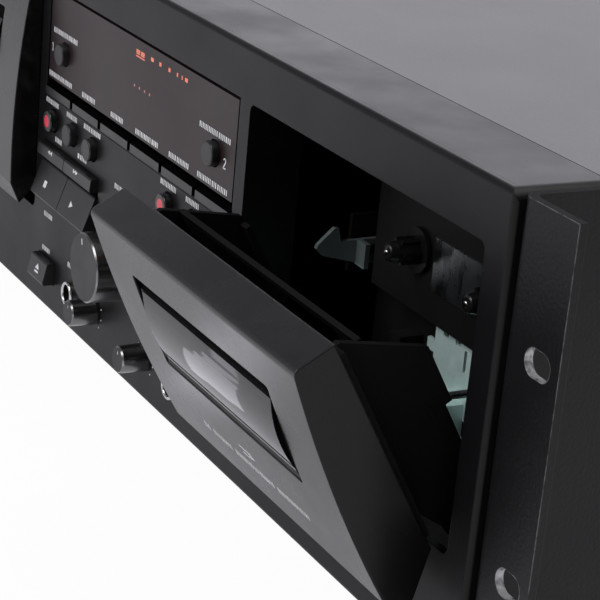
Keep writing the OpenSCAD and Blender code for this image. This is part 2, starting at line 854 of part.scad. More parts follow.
// Hook on a rising arm, with a tab bent towards the reels
module latch_lever(deck) {
    color(ZINC) at_deck(deck) {
        wide(plate_t, -latch_x) translate([reel_y, latch_z]) difference() {
            polygon([[latch_arm + 4, -latch_low], [latch_arm + 4, latch_high], [-6.4, latch_high - 0.3],
                     [-7.4, 7.2], [-8.6, 7.4], [-14, 2.4], [-14.3, 1.2], [-12, -1.1], [0.8, -latch_low]]);
            translate([latch_arm, 0]) circle(latch_r + run_gap);
        }
        translate([-latch_x, reel_y + 0.8, latch_z])
            slab([0, latch_tab], [-plate_t, 0], [-latch_low, latch_high]);
    }
}

module slide_cut(x, w, z) {
    slab([x - w / 2, x + w / 2], [slide_y - cut, slide_y + slide_t + cut], z);
}

module head_slide(deck) {
    crest_z = reel_plate_z + crest_up;
    y = [slide_y, slide_y + slide_t];
    color(ZINC) at_deck(deck) {
        difference() {
            union() {
                slab([-slide_w, slide_w] / 2, y, [slide_z0, slide_z1]);
                slab([-crest_left, crest_right], y, [slide_z1 - cut, crest_z]);
                slab([-crest_left - crest_tab[0], -crest_left + cut], y,
                     [reel_plate_z - tab_drop - crest_tab[1], reel_plate_z - tab_drop]);
            }
            slide_cut(slit_x, notch_w / 2, [reel_plate_z - notch_w - slit_h, reel_plate_z - notch_w]);
            for (x = notch_x) slide_cut(x, notch_w, [reel_plate_z - notch_w, crest_z + cut]);
            for (side = [-1, 1])
                slide_cut(side * (slide_w / 2 - runner_w), runner_w,
                          [slide_z0 + runner_up, slide_z0 + runner_up + runner_h]);
        }
        translate([0, 0, cassette_z - 1]) {
            slab([-head_w, head_w] / 2, [pocket_y0 + head_foot, slide_y + weld], [-head_h, 0]);
            slab([-head_w / 2 - head_foot, head_w / 2 + head_foot],
                 [pocket_y0 + pocket_d / 2, slide_y + weld], [-head_h - head_foot_t, -head_h + weld]);
        }
    }
}

module flywheel(deck) {
    back = frame_y + plate_t;
    color(STEEL) translate([deck_x(deck) + capstan_x, back, capstan_z]) rotate([90, 0, 0]) {
        translate([0, 0, -flywheel_t - 1]) cylinder(r = flywheel_r, h = flywheel_t);
        translate([0, 0, -flywheel_t]) cylinder(r = capstan_r, h = back - pocket_y0 - 2.5 + flywheel_t);
        translate([0, 0, -1.2]) cylinder(r = 3, h = 0.9);
    }
}

module capstan_motors() {
    back = frame_y + plate_t;
    seat = back + flywheel_t + 4;
    half = flywheel_r + 6;
    leg_r = 2.5;
    color("#6b6f74") for (deck = [1, 2]) translate([deck_x(deck) + capstan_x, 0, capstan_z]) {
        slab([-half, half], [seat, seat + plate_t], [-half, half]);
        rod(0, 0, flywheel_r - 3, [seat + weld, seat + plate_t + motor_l]);
        for (x = [-1, 1], z = [-1, 1])
            rod(x * (flywheel_r + leg_r), z * (flywheel_r + leg_r), leg_r, [back, seat + weld]);
    }
}

// Doors, in side view: y is the first coordinate and z the second
module door_outline(inset = 0) {
    r = door_bow - inset;
    z1 = door_z1 - inset;
    nose = max(nose_r - inset, 0.5);
    brow = max(door_top_r - inset, 0.5);
    back = door_set + (inset > 0 ? cut : 0);
    bevel = door_z1 - door_back + inset * sqrt(2) + back - door_set;
    bow = [bow_y, bow_z];
    // The nose's centre lies one nose radius inside the bevel and inside the bow
    foot = [back, bevel] + [-1, 1] * nose / sqrt(2) - bow;
    fall = [-1, -1] / sqrt(2);
    reach = sqrt(pow(foot * fall, 2) - foot * foot + pow(r - nose, 2)) - foot * fall;
    nose_c = bow + foot + reach * fall;
    brow_c = [bow_y - sqrt(pow(r - brow, 2) - pow(z1 - brow - bow_z, 2)), z1 - brow];
    out = (r + 5) / (r - nose);
    intersection() {
        translate(bow) circle(r, $fn = 360);
        polygon([[back, z1], [brow_c[0], z1], brow_c, bow + (brow_c - bow) * out,
                 bow + (nose_c - bow) * out, nose_c, nose_c + [1, -1] * nose / sqrt(2), [back, bevel]]);
    }
    translate(nose_c) circle(nose);
    translate(brow_c) circle(brow);
}

// Below the chin the front leans back in a flat facet
module chin_cut() {
    translate([chin_y, chin_z]) rotate(chin_lean) translate([-door_t, -door_t]) square(door_t);
}

module at_window() {
    translate([0, window_y, window_z]) rotate([-window_tilt, 0, 0]) children();
}

module door_cover(deck) {
    color(CHARCOAL) at_door(deck) difference() {
        wide(door_w) door_outline();
        wide(door_w - 2 * door_wall) door_outline(door_wall);
        wide(door_w + 2 * cut) chin_cut();
        at_window() face_plate(0, 0, window_w, window_h, window_round, [-door_t, pane_edge]);
    }
}

// Flange behind the door's wall and a bowed front that fills the opening
module door_window(deck) {
    color([0.1, 0.1, 0.11, 0.8]) at_door(deck) at_window() wide(window_w - 2 * pane_gap) {
        translate([pane_edge, -window_h / 2 - pane_lip]) square([pane_t, window_h + 2 * pane_lip]);
        intersection() {
            translate([pane_r + pane_set, -pane_peak]) circle(pane_r, $fn = 180);
            translate([0, pane_low - window_h / 2])
                square([pane_edge + weld, window_h - pane_low - pane_top]);
        }
    }
}

// Side plate of a holder with its arm down to the hinge
module holder_side() {
    front = door_set + carrier_t - weld;
    side_drop = 6.5;
    difference() {
        union() {
            polygon([[front, door_z1 - side_drop], [holder_y - 20, door_z1 - side_drop],
                     [holder_y, reel_z + 10], [holder_y, reel_z - guide_low],
                     [holder_y - 2, reel_z - guide_low], [holder_y - 2, cassette_z - 6],
                     [hinge_y + knuckle_r, hinge_z], [hinge_y - knuckle_r, hinge_z],
                     [pocket_y0 - carrier_t, cassette_z - 4], [front, cassette_z + 8]]);
            translate([hinge_y, hinge_z]) circle(knuckle_r);
        }
        translate([hinge_y, hinge_z]) circle(hinge_r + run_gap);
    }
}

module cassette_holder(deck) {
    half = pocket_w / 2;
    shelf_w = 16;
    carrier_w = door_w - 2;
    carrier_drop = 4;
    sight = [window_w + 3, window_h + 6];
    catch_out = 0.8;
    color(BLACK) at_door(deck) {
        difference() {
            slab([-carrier_w / 2, carrier_w / 2], [door_set, door_set + carrier_t],
                 [door_z1 - door_back + 3, door_z1 - carrier_drop]);
            face_plate(0, window_z, sight[0], sight[1], 2, [0, holder_y]);
        }
        difference() {
            slab([-half - weld, half + weld], [pocket_y0 - carrier_t, pocket_y0],
                 [cassette_z - holder_t, door_z1 - 10]);
            face_plate(0, window_z, sight[0] - 6, sight[1] - 4, 2, [0, holder_y]);
        }
        for (side = [-1, 1]) {
            wide(holder_t, side * (half + holder_t / 2)) holder_side();
            slab(side > 0 ? [half - shelf_w, half + weld] : [-half - weld, -half + shelf_w],
                 [pocket_y0 - carrier_t, holder_y - 2], [cassette_z - holder_t, cassette_z]);
            slab(side > 0 ? [half - 4, half + weld] : [-half - weld, -half + 4],
                 [pocket_y1, holder_y], [reel_z - guide_low, reel_z + 8]);
            slab(side > 0 ? [half, ear_x + catch_out] : [-ear_x - catch_out, -half],
                 [holder_y - 7, holder_y - 6], [latch_z + 1.5, latch_z + 6]);
        }
    }
}

// Knobs and keys
module knob(x, z, r, l) {
    taper = 0.3;
    rim = 0.5;
    color(BLACK) {
        rod(x, z, shaft_r, [-knob_gap - 2, pot_y + pot_bore - 0.3]);
        translate([x, -knob_gap, z]) rotate([90, 0, 0]) {
            cylinder(r1 = r, r2 = r - taper, h = l - rim);
            translate([0, 0, l - rim]) cylinder(r1 = r - taper, r2 = r - taper - rim, h = rim);
        }
    }
}

module level_knob() {
    knob(0, level_z, level_r, level_l);
}

module trim_knob(side) {
    knob(side * trim_x, trim_z, trim_r, trim_l);
}

module stem(x, z) {
    slab([x - stem_w / 2, x + stem_w / 2], [panel_t, stem_y], [z - stem_h / 2, z + stem_h / 2]);
}

module function_key(i) {
    x = -display_w / 2 + (i - 0.5) * fkey_pitch;
    z = (fkey_z0 + fkey_z1 - fkey_h) / 2;
    back = panel_t + key_root;
    color(CHARCOAL) {
        wide(fkey_pitch - fkey_seam, x) polygon([[back, z], [-fkey_proud, z], [-fkey_proud, z + fkey_face],
                                                 [fkey_set, z + fkey_h], [back, z + fkey_h]]);
        stem(x, z + fkey_h / 2);
    }
}

module round_key(x, z, proud, tint) {
    dome = 0.6;
    color(tint) translate([x, -proud, z]) rotate([-90, 0, 0]) rotate_extrude() {
        translate([0, 0]) square([round_r - dome, proud]);
        translate([0, dome]) square([round_r, proud + panel_t]);
        intersection() {
            translate([round_r - dome, dome]) circle(dome);
            square([round_r, proud]);
        }
        translate([0, proud + panel_t + ledge_t + 0.4]) square([round_r + 1.2, 1]);
    }
    color(BLACK) rod(x, z, 1.6, [0, stem_y]);
}

module reset_button(deck) {
    round_key((deck == 1 ? -1 : 1) * reset_x, reset_z, 2.4, BLACK);
}

module row_key(deck, place, tint) {
    x = deck == 1 ? -round_x - (2 - place) * round_pitch : round_x + place * round_pitch;
    round_key(x, round_z, 2.8, tint);
}

function transport_x(deck, place) =
    (deck == 1 ? -keys_x - 2 * key_w - key_gap : keys_x) + key_w / 2 + place * (key_w + key_gap);

module wind_key(deck, place) {
    x = transport_x(deck, place);
    z1 = wind_z + wind_h;
    color(CHARCOAL) {
        wide(key_w, x) polygon([[panel_t + key_root, wind_z], [-2.5, wind_z], [-3, wind_z + 0.5],
                                [-2.7, z1 - 0.5], [-2.2, z1], [panel_t + key_root, z1]]);
        stem(x, wind_z + wind_h / 2);
    }
}

// Wedge key whose face leans out towards its lower edge
module wedge_key(x, z, w, h, proud) {
    back = panel_t + key_root;
    color(CHARCOAL) {
        wide(w, x) polygon([[back, z], [-proud[0] + 0.4, z], [-proud[0], z + 0.8],
                            [-proud[1], z + h - 0.5], [-proud[1] + 0.5, z + h], [back, z + h]]);
        stem(x, z + h / 2);
    }
}

module play_row(deck, place) {
    wedge_key(transport_x(deck, place), play_z, key_w, play_h, [4.8, 0.5]);
}

module eject_button(deck) {
    x = (deck == 1 ? -1 : 1) * eject_x;
    wedge_key(x, eject_z - eject_h / 2, eject_w, eject_h, [4.5, 3]);
}

module power_button() {
    color(BLACK) {
        face_plate(-power_x, trim_z, power_w, power_w, 1.5, [-3, panel_t + key_root]);
        stem(-power_x, trim_z);
    }
}

place() front_panel();
place() top_cover();
place() bottom_chassis();
place() rear_panel();
place() rack_ears();
place() screws();
place() feet();
place() display_window();
place() circuit_boards();
place() power_transformer();
place() power_inlet();
place() line_jacks();
place() front_jacks();
place() mechanism_plates();
place() reel_reflectors();
place() capstan_motors();
place() door_cover(1);  // door_cover_1
place() door_cover(2);  // door_cover_2
place() door_window(1);  // door_window_1
place() door_window(2);  // door_window_2
place() cassette_holder(1);  // cassette_holder_1
place() cassette_holder(2);  // cassette_holder_2
place() reel(1, -1);  // reel_1_left
place() reel(1, 1);  // reel_1_right
place() reel(2, -1);  // reel_2_left
place() reel(2, 1);  // reel_2_right
place() latch_lever(1);  // latch_lever_1
place() latch_lever(2);  // latch_lever_2
place() head_slide(1);  // head_slide_1
place() head_slide(2);  // head_slide_2
place() flywheel(1);  // flywheel_1
place() flywheel(2);  // flywheel_2
place() level_knob();
place() trim_knob(-1);  // trim_knob_left
place() trim_knob(1);  // trim_knob_right
place() function_key(1);  // function_key_1
place() function_key(2);  // function_key_2
place() function_key(3);  // function_key_3
place() function_key(4);  // function_key_4
place() function_key(5);  // function_key_5
place() function_key(6);  // function_key_6
place() reset_button(1);  // reset_button_1
place() reset_button(2);  // reset_button_2
place() row_key(1, 0, "#b02020");  // record_key_1
place() row_key(2, 0, "#b02020");  // record_key_2
place() row_key(1, 1, BLACK);  // pause_key_1
place() row_key(2, 1, BLACK);  // pause_key_2
place() row_key(1, 2, BLACK);  // mute_key_1
place() row_key(2, 2, BLACK);  // mute_key_2
place() wind_key(1, 0);  // rewind_key_1
place() wind_key(2, 0);  // rewind_key_2
place() wind_key(1, 1);  // forward_key_1
place() wind_key(2, 1);  // forward_key_2
place() play_row(1, 0);  // stop_key_1
place() play_row(2, 0);  // stop_key_2
place() play_row(1, 1);  // play_key_1
place() play_row(2, 1);  // play_key_2
place() eject_button(1);  // eject_button_1
place() eject_button(2);  // eject_button_2
place() power_button();
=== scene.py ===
import bpy
import json
import math
import numpy as np
from mathutils import Matrix, Vector


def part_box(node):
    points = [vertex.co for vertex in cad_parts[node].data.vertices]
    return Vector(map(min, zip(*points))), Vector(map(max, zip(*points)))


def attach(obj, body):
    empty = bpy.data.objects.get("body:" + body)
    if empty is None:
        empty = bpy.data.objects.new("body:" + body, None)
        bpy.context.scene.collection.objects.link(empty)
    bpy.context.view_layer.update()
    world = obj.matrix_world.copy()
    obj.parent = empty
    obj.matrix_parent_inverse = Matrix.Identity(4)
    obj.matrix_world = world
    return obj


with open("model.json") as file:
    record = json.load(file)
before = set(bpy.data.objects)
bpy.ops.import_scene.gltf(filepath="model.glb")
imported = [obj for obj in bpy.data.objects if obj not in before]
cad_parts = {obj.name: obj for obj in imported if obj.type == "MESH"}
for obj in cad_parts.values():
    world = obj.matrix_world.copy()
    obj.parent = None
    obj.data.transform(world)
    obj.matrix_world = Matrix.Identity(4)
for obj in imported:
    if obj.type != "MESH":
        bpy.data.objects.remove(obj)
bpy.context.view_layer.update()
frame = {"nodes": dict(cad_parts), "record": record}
scene = bpy.context.scene
scene.view_settings.view_transform = "Standard"

# Sizes below are millimetres from the panel's face and lower edge, with x from its middle
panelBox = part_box("front_panel")
faceY, footZ = panelBox[0][1], panelBox[0][2]


def deckArray(points):
    # millimetres in the panel's frame to metres in the part's frame, as one array
    return np.asarray(points, float) / 1000 + np.array([0, faceY, footZ])


def boxInMm(node):
    low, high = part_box(node)
    shift = np.array([0, faceY, footZ])
    return (np.array(low) - shift) * 1000, (np.array(high) - shift) * 1000


def mountNamed(name):
    return next(m for m in frame["record"]["mounts"] if m["name"] == name)


# Node helpers
def bareMaterial(name):
    mat = bpy.data.materials.new(name)
    mat.use_nodes = True
    tree = mat.node_tree
    tree.nodes.clear()
    return mat, tree, tree.nodes.new("ShaderNodeOutputMaterial")


def newMaterial(name):
    mat, tree, out = bareMaterial(name)
    skin = tree.nodes.new("ShaderNodeBsdfPrincipled")
    tree.links.new(skin.outputs["BSDF"], out.inputs["Surface"])
    return mat, tree, skin


def linked(skin, label):
    return skin.inputs[label].links[0].from_socket


def shaderOf(mat):
    tree = mat.node_tree
    return tree, next(n for n in tree.nodes if n.type == "BSDF_PRINCIPLED")


def addNode(tree, kind, **settings):
    node = tree.nodes.new(kind)
    for key, value in settings.items():
        setattr(node, key, value)
    return node


def feed(tree, socket, value):
    # links a socket to a socket, or sets a plain value
    if isinstance(value, bpy.types.NodeSocket):
        tree.links.new(value, socket)
    else:
        socket.default_value = value


def maths(tree, operation, a, b=0.0, clamp=False):
    node = addNode(tree, "ShaderNodeMath", operation=operation, use_clamp=clamp)
    feed(tree, node.inputs[0], a)
    feed(tree, node.inputs[1], b)
    return node.outputs[0]


def times(tree, a, b, clamp=False):
    return maths(tree, "MULTIPLY", a, b, clamp)


def plus(tree, a, b, clamp=False):
    return maths(tree, "ADD", a, b, clamp)


def minus(tree, a, b):
    return maths(tree, "SUBTRACT", a, b)


def ramp(tree, value, low, high, outLow=0.0, outHigh=1.0):
    node = addNode(tree, "ShaderNodeMapRange", clamp=True)
    for key, number in zip(
        ("Value", "From Min", "From Max", "To Min", "To Max"), (value, low, high, outLow, outHigh)
    ):
        feed(tree, node.inputs[key], number)
    return node.outputs["Result"]


def blendColour(tree, factor, a, b):
    node = addNode(tree, "ShaderNodeMix", data_type="RGBA")
    feed(tree, node.inputs[0], factor)
    feed(tree, node.inputs[6], a)
    feed(tree, node.inputs[7], b)
    return node.outputs[2]


def colour(r, g, b):
    return (r, g, b, 1.0)


def noise(tree, place, scale, detail=2.0, roughness=0.5):
    node = addNode(tree, "ShaderNodeTexNoise")
    feed(tree, node.inputs["Vector"], place)
    feed(tree, node.inputs["Scale"], scale)
    feed(tree, node.inputs["Detail"], detail)
    feed(tree, node.inputs["Roughness"], roughness)
    return node.outputs["Fac"]


def newGroup(name, inputs, outputs):
    group = bpy.data.node_groups.new(name, "ShaderNodeTree")
    for label, kind, value in inputs:
        socket = group.interface.new_socket(label, in_out="INPUT", socket_type=kind)
        socket.default_value = value
    for label, kind in outputs:
        group.interface.new_socket(label, in_out="OUTPUT", socket_type=kind)
    return group, group.nodes.new("NodeGroupInput"), group.nodes.new("NodeGroupOutput")


def objectPlace(tree):
    return addNode(tree, "ShaderNodeTexCoord").outputs["Object"]


def axes(tree, vector):
    # the x, y and z of a vector as sockets
    node = addNode(tree, "ShaderNodeSeparateXYZ")
    feed(tree, node.inputs[0], vector)
    return node.outputs


def placeAxes(tree):
    return axes(tree, objectPlace(tree))


def facingAxes(tree):
    return axes(tree, addNode(tree, "ShaderNodeNewGeometry").outputs["True Normal"])


def reachOf(tree, a, b):
    # the root of the sum of two squares
    squares = [maths(tree, "POWER", value, 2.0) for value in (a, b)]
    return maths(tree, "SQRT", plus(tree, *squares))


# Shared effects: sprayed paint, moulded grain, brushed metal and settled dust
def makePaintSpray():
    group, given, put = newGroup(
        "paintSpray",
        [
            ("Pebble", "NodeSocketFloat", 900.0), ("Mottle", "NodeSocketFloat", 40.0),
            ("Cloud", "NodeSocketFloat", 1.0)],
        [("Height", "NodeSocketFloat"), ("Tone", "NodeSocketFloat"), ("Gloss", "NodeSocketFloat")],
    )
    place = objectPlace(group)
    pebble = noise(group, place, given.outputs["Pebble"], 3.0, 0.6)
    mottle = noise(group, place, given.outputs["Mottle"], 4.0, 0.55)
    cloud = times(group, ramp(group, mottle, 0.3, 0.7, -0.13, 0.12), given.outputs["Cloud"])
    speck = ramp(group, pebble, 0.35, 0.75, 0.93, 1.1)
    feed(group, put.inputs["Height"], pebble)
    feed(group, put.inputs["Tone"], times(group, plus(group, cloud, 1.0), speck))
    feed(group, put.inputs["Gloss"], times(group, cloud, 0.45))
    return group


def makeMouldGrain():
    group, given, put = newGroup(
        "mouldGrain",
        [("Grain", "NodeSocketFloat", 1500.0), ("Smear", "NodeSocketFloat", 60.0)],
        [("Height", "NodeSocketFloat"), ("Tone", "NodeSocketFloat"), ("Gloss", "NodeSocketFloat")],
    )
    place = objectPlace(group)
    cells = addNode(group, "ShaderNodeTexVoronoi", feature="F1")
    feed(group, cells.inputs["Vector"], place)
    feed(group, cells.inputs["Scale"], given.outputs["Grain"])
    smear = noise(group, place, given.outputs["Smear"], 5.0, 0.6)
    feed(group, put.inputs["Height"], cells.outputs["Distance"])
    feed(group, put.inputs["Tone"], ramp(group, smear, 0.3, 0.7, 0.85, 1.15))
    feed(group, put.inputs["Gloss"], ramp(group, smear, 0.3, 0.75, -0.06, 0.08))
    return group


def makeBrushedMetal():
    group, given, put = newGroup(
        "brushedMetal",
        [("Stretch", "NodeSocketVector", (60.0, 2500.0, 2500.0)), ("Stain", "NodeSocketFloat", 90.0)],
        [("Height", "NodeSocketFloat"), ("Tone", "NodeSocketFloat"), ("Gloss", "NodeSocketFloat")],
    )
    place = objectPlace(group)
    pull = addNode(group, "ShaderNodeVectorMath", operation="MULTIPLY")
    feed(group, pull.inputs[0], place)
    feed(group, pull.inputs[1], given.outputs["Stretch"])
    hair = noise(group, pull.outputs["Vector"], 1.0, 3.0, 0.6)
    stain = noise(group, place, given.outputs["Stain"], 4.0, 0.6)
    feed(group, put.inputs["Height"], hair)
    feed(group, put.inputs["Tone"], ramp(group, stain, 0.3, 0.7, 0.88, 1.08))
    feed(
        group, put.inputs["Gloss"],
        plus(group, ramp(group, hair, 0.3, 0.7, -0.06, 0.06), ramp(group, stain, 0.3, 0.7, -0.04, 0.08)))
    return group


def makeSettledDust():
    group, given, put = newGroup(
        "settledDust",
        [("Amount", "NodeSocketFloat", 0.3), ("Patch", "NodeSocketFloat", 35.0)],
        [("Mask", "NodeSocketFloat")],
    )
    place = objectPlace(group)
    facing = axes(group, addNode(group, "ShaderNodeNewGeometry").outputs["Normal"])
    upward = ramp(group, facing["Z"], 0.55, 1.0)
    patch = ramp(group, noise(group, place, given.outputs["Patch"], 6.0, 0.7), 0.45, 0.8)
    fleck = ramp(group, noise(group, place, 2600.0, 1.0, 0.5), 0.66, 0.74)
    cover = plus(group, times(group, patch, 0.5), times(group, fleck, 0.5))
    feed(
        group, put.inputs["Mask"],
        times(group, times(group, upward, cover), given.outputs["Amount"], clamp=True))
    return group


paintSpray = makePaintSpray()
mouldGrain = makeMouldGrain()
brushedMetal = makeBrushedMetal()
settledDust = makeSettledDust()
print("shared effects ready")


def useGroup(tree, group, **values):
    node = addNode(tree, "ShaderNodeGroup", node_tree=group)
    for key, value in values.items():
        node.inputs[key].default_value = value
    return node


def bump(tree, height, strength, distance, edgeMm=0.0):
    node = addNode(tree, "ShaderNodeBump")
    feed(tree, node.inputs["Height"], height)
    if edgeMm:
        soft = addNode(tree, "ShaderNodeBevel", samples=6)
        soft.inputs["Radius"].default_value = edgeMm / 1000
        feed(tree, node.inputs["Normal"], soft.outputs["Normal"])
    node.inputs["Strength"].default_value = strength
    node.inputs["Distance"].default_value = distance
    return node.outputs["Normal"]


def tinted(tree, base, tone):
    # multiplies a plain or linked colour by a grey factor
    node = addNode(tree, "ShaderNodeMix", data_type="RGBA", blend_type="MULTIPLY")
    node.inputs[0].default_value = 1.0
    feed(tree, node.inputs[6], base)
    grey = addNode(tree, "ShaderNodeCombineColor")
    for channel in ("Red", "Green", "Blue"):
        feed(tree, grey.inputs[channel], tone)
    tree.links.new(grey.outputs["Color"], node.inputs[7])
    return node.outputs[2]


dustColour = colour(0.32, 0.31, 0.3)


def surfaced(
    name, effect, effectValues, base, roughness, metallic=0.0, bumpStrength=0.2, bumpDepth=0.00005,
    dust=0.0, ior=1.5, baseMaker=None, edgeMm=0.0
):
    # a finish with one shared effect: colour tone, roughness change and bump, with dust on upward faces
    mat, tree, skin = newMaterial(name)
    grain = useGroup(tree, effect, **effectValues)
    ground = baseMaker(tree) if baseMaker else base
    shade = tinted(tree, ground, grain.outputs["Tone"])
    rough = plus(tree, grain.outputs["Gloss"], roughness, clamp=True)
    if dust > 0:
        mask = useGroup(tree, settledDust, Amount=dust).outputs["Mask"]
        shade = blendColour(tree, mask, shade, dustColour)
        rough = plus(tree, rough, times(tree, mask, 0.3), clamp=True)
    feed(tree, skin.inputs["Base Color"], shade)
    feed(tree, skin.inputs["Roughness"], rough)
    skin.inputs["Metallic"].default_value = metallic
    skin.inputs["IOR"].default_value = ior
    feed(tree, skin.inputs["Normal"], bump(tree, grain.outputs["Height"], bumpStrength, bumpDepth, edgeMm))
    return mat


def nearY(tree, limitMm, widthMm=0.05):
    # 1 on the panel side in front of a depth, 0 behind it
    split = placeAxes(tree)
    edge = faceY + limitMm / 1000
    return ramp(tree, split["Y"], edge - widthMm / 1000, edge + widthMm / 1000, 1.0, 0.0)


# Finishes, one function or line for each slot of the record
finish = {
    "panel": {
        "base": colour(0.007, 0.007, 0.008), "rough": 0.38, "pebble": 1500.0, "ior": 1.3, "cloud": 0.8,
        "edge": 0.3},
    "cover": {
        "base": colour(0.096, 0.095, 0.1), "rough": 0.44, "pebble": 1100.0, "ior": 1.5, "cloud": 0.25,
        "edge": 0.0},
    # the door's ends entries set painted shade on its sideways-facing faces
    "door": {
        "base": colour(0.008, 0.008, 0.009), "rough": 0.28, "pebble": 1800.0, "ior": 1.6, "cloud": 0.6,
        "edge": 0.8, "ends": 0.6, "endsFrom": (0.85, 0.95)},
    "ear": {
        "base": colour(0.007, 0.007, 0.008), "rough": 0.42, "pebble": 900.0, "ior": 1.36, "cloud": 0.8,
        "edge": 0.3},
}


def paintFinish(name, key, bumpStrength, bumpDepth, dust):
    f = finish[key]
    effect = {"Pebble": f["pebble"], "Cloud": f["cloud"]}
    return surfaced(
        name, paintSpray, effect, f["base"], f["rough"], bumpStrength=bumpStrength, bumpDepth=bumpDepth,
        dust=dust, ior=f["ior"], edgeMm=f["edge"])


earEdge = {
    "wearMm": (0.08, 0.24), "wear": 0.3, "topRough": 0.5, "bare": colour(0.5, 0.5, 0.51),
    "slotMm": (0.05, 0.2), "chip": (420.0, 0.3, 0.6), "topFrom": (0.6, 0.9)}


def earFinish():
    # grained black paint, worn along the front's outer corners, bare inside the slots and dull on top
    low, high = boxInMm("rack_ears")
    bolts = mountNamed("rack_slots")["dims"]
    mat = paintFinish("earPaint", "ear", 0.7, 0.00018, 0.0)
    tree, skin = shaderOf(mat)
    split = placeAxes(tree)
    acrossMm = times(tree, maths(tree, "ABSOLUTE", split["X"]), 1000.0)
    upMm = times(tree, minus(tree, split["Z"], footZ), 1000.0)
    inMm = times(tree, minus(tree, split["Y"], faceY + low[1] / 1000), 1000.0)
    fromMiddle = maths(tree, "ABSOLUTE", minus(tree, upMm, (low[2] + high[2]) / 2))
    fromSide = minus(tree, high[0], acrossMm)
    fromEnd = minus(tree, (high[2] - low[2]) / 2, fromMiddle)
    fromCorner = maths(tree, "MAXIMUM", maths(tree, "MINIMUM", fromSide, fromEnd), inMm)
    worn = ramp(tree, fromCorner, *earEdge["wearMm"], earEdge["wear"], 0.0)
    flatHalf = bolts["slot_length_mm"] / 2 - bolts["hole_r_mm"]
    fromSlot = maths(tree, "ABSOLUTE", minus(tree, acrossMm, bolts["spacing_x_mm"] / 2))
    sideways = maths(tree, "MAXIMUM", minus(tree, fromSlot, flatHalf), 0.0)
    upright = minus(tree, fromMiddle, bolts["spacing_y_mm"] / 2)
    reach = reachOf(tree, sideways, upright)
    inSlot = ramp(tree, reach, *(bolts["hole_r_mm"] + margin for margin in earEdge["slotMm"]), 1.0, 0.0)
    scale, *limits = earEdge["chip"]
    chip = ramp(tree, noise(tree, objectPlace(tree), scale, 3.0), *limits)
    bare = times(tree, maths(tree, "MAXIMUM", worn, inSlot), chip, clamp=True)
    painted = linked(skin, "Base Color")
    feed(tree, skin.inputs["Base Color"], blendColour(tree, bare, painted, earEdge["bare"]))
    feed(tree, skin.inputs["Metallic"], bare)
    facing = facingAxes(tree)
    dull = ramp(tree, facing["Z"], *earEdge["topFrom"], 0.0, earEdge["topRough"])
    gloss = linked(skin, "Roughness")
    feed(tree, skin.inputs["Roughness"], plus(tree, gloss, dull, clamp=True))
    return mat


def doorFinish():
    # satin black paint; painted shade cuts the reflection of the moulding's sideways-facing ends
    mat = paintFinish("doorPaint", "door", 0.14, 0.00003, 0.1)
    tree, skin = shaderOf(mat)
    facing = facingAxes(tree)
    sideways = maths(tree, "ABSOLUTE", facing["X"])
    look = finish["door"]
    # painted shade: faces turned sideways are darkened by taking away their reflection
    feed(tree, skin.inputs["Metallic"], ramp(tree, sideways, *look["endsFrom"], 0.0, look["ends"]))
    return mat


def displayFinish():
    # smoked acrylic, almost black with a reddish cast behind a soft gloss
    effect = {"Grain": 300.0, "Smear": 12.0}
    return surfaced(
        "displaySmoke", mouldGrain, effect, colour(0.018, 0.008, 0.01), 0.38, bumpStrength=0.02,
        bumpDepth=0.00001, ior=1.4)


glass = {"tint": colour(0.06, 0.06, 0.066), "rough": 0.05, "smear": 0.15, "ior": 1.42, "clear": 0.75}


def glassFinish():
    # tinted clear plastic of the door windows
    mat, tree, skin = newMaterial("doorGlass")
    smear = useGroup(tree, mouldGrain, Grain=200.0, Smear=25.0)
    feed(tree, skin.inputs["Base Color"], tinted(tree, glass["tint"], smear.outputs["Tone"]))
    haze = times(tree, smear.outputs["Gloss"], glass["smear"])
    feed(tree, skin.inputs["Roughness"], plus(tree, haze, glass["rough"], clamp=True))
    skin.inputs["IOR"].default_value = glass["ior"]
    skin.inputs["Transmission Weight"].default_value = glass["clear"]
    return mat


recordDisc = {
    "r": 2.15, "fade": 0.1, "depth": 0.9, "red": colour(0.92, 0.03, 0.07),
    "black": colour(0.012, 0.012, 0.013)}


def recordFinish():
    # black keys, each with a red disc on its front
    spec = recordDisc

    def capped(tree):
        split = placeAxes(tree)
        inside = 0.0
        for node in ("record_key_1", "record_key_2"):
            low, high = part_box(node)
            across = minus(tree, split["X"], (low[0] + high[0]) / 2)
            upright = minus(tree, split["Z"], (low[2] + high[2]) / 2)
            reach = reachOf(tree, across, upright)
            edges = [(spec["r"] + side * spec["fade"]) / 1000 for side in (-1, 1)]
            inside = maths(tree, "MAXIMUM", inside, ramp(tree, reach, *edges, 1.0, 0.0))
        front = nearY(tree, boxInMm("record_key_1")[0][1] + spec["depth"])
        return blendColour(tree, times(tree, inside, front), spec["black"], spec["red"])

    return surfaced("recordRed", mouldGrain, {}, None, 0.24, bumpStrength=0.05, baseMaker=capped)


jackLook = {
    "nickel": colour(0.62, 0.6, 0.56), "rough": 0.16, "black": colour(0.015, 0.015, 0.016),
    "depthMm": (1.0, 0.3), "rimMm": (0.05, 0.2)}


def jackFinish():
    # nickel ring in front, black socket behind the panel and in the bore
    bore = mountNamed("phone_jack_right")
    mat = surfaced(
        "jackNickel", brushedMetal, {"Stretch": (400.0, 400.0, 400.0)}, jackLook["nickel"],
        jackLook["rough"], metallic=1.0, bumpStrength=0.05)
    tree, skin = shaderOf(mat)
    split = placeAxes(tree)
    across = minus(tree, maths(tree, "ABSOLUTE", split["X"]), bore["pos_m"][0])
    upright = minus(tree, split["Z"], bore["pos_m"][2])
    reach = reachOf(tree, across, upright)
    outside = ramp(tree, reach, *((bore["dims"]["r_mm"] + margin) / 1000 for margin in jackLook["rimMm"]))
    front = times(tree, nearY(tree, *jackLook["depthMm"]), outside)
    plated = linked(skin, "Base Color")
    feed(tree, skin.inputs["Base Color"], blendColour(tree, front, jackLook["black"], plated))
    feed(tree, skin.inputs["Metallic"], front)
    return mat


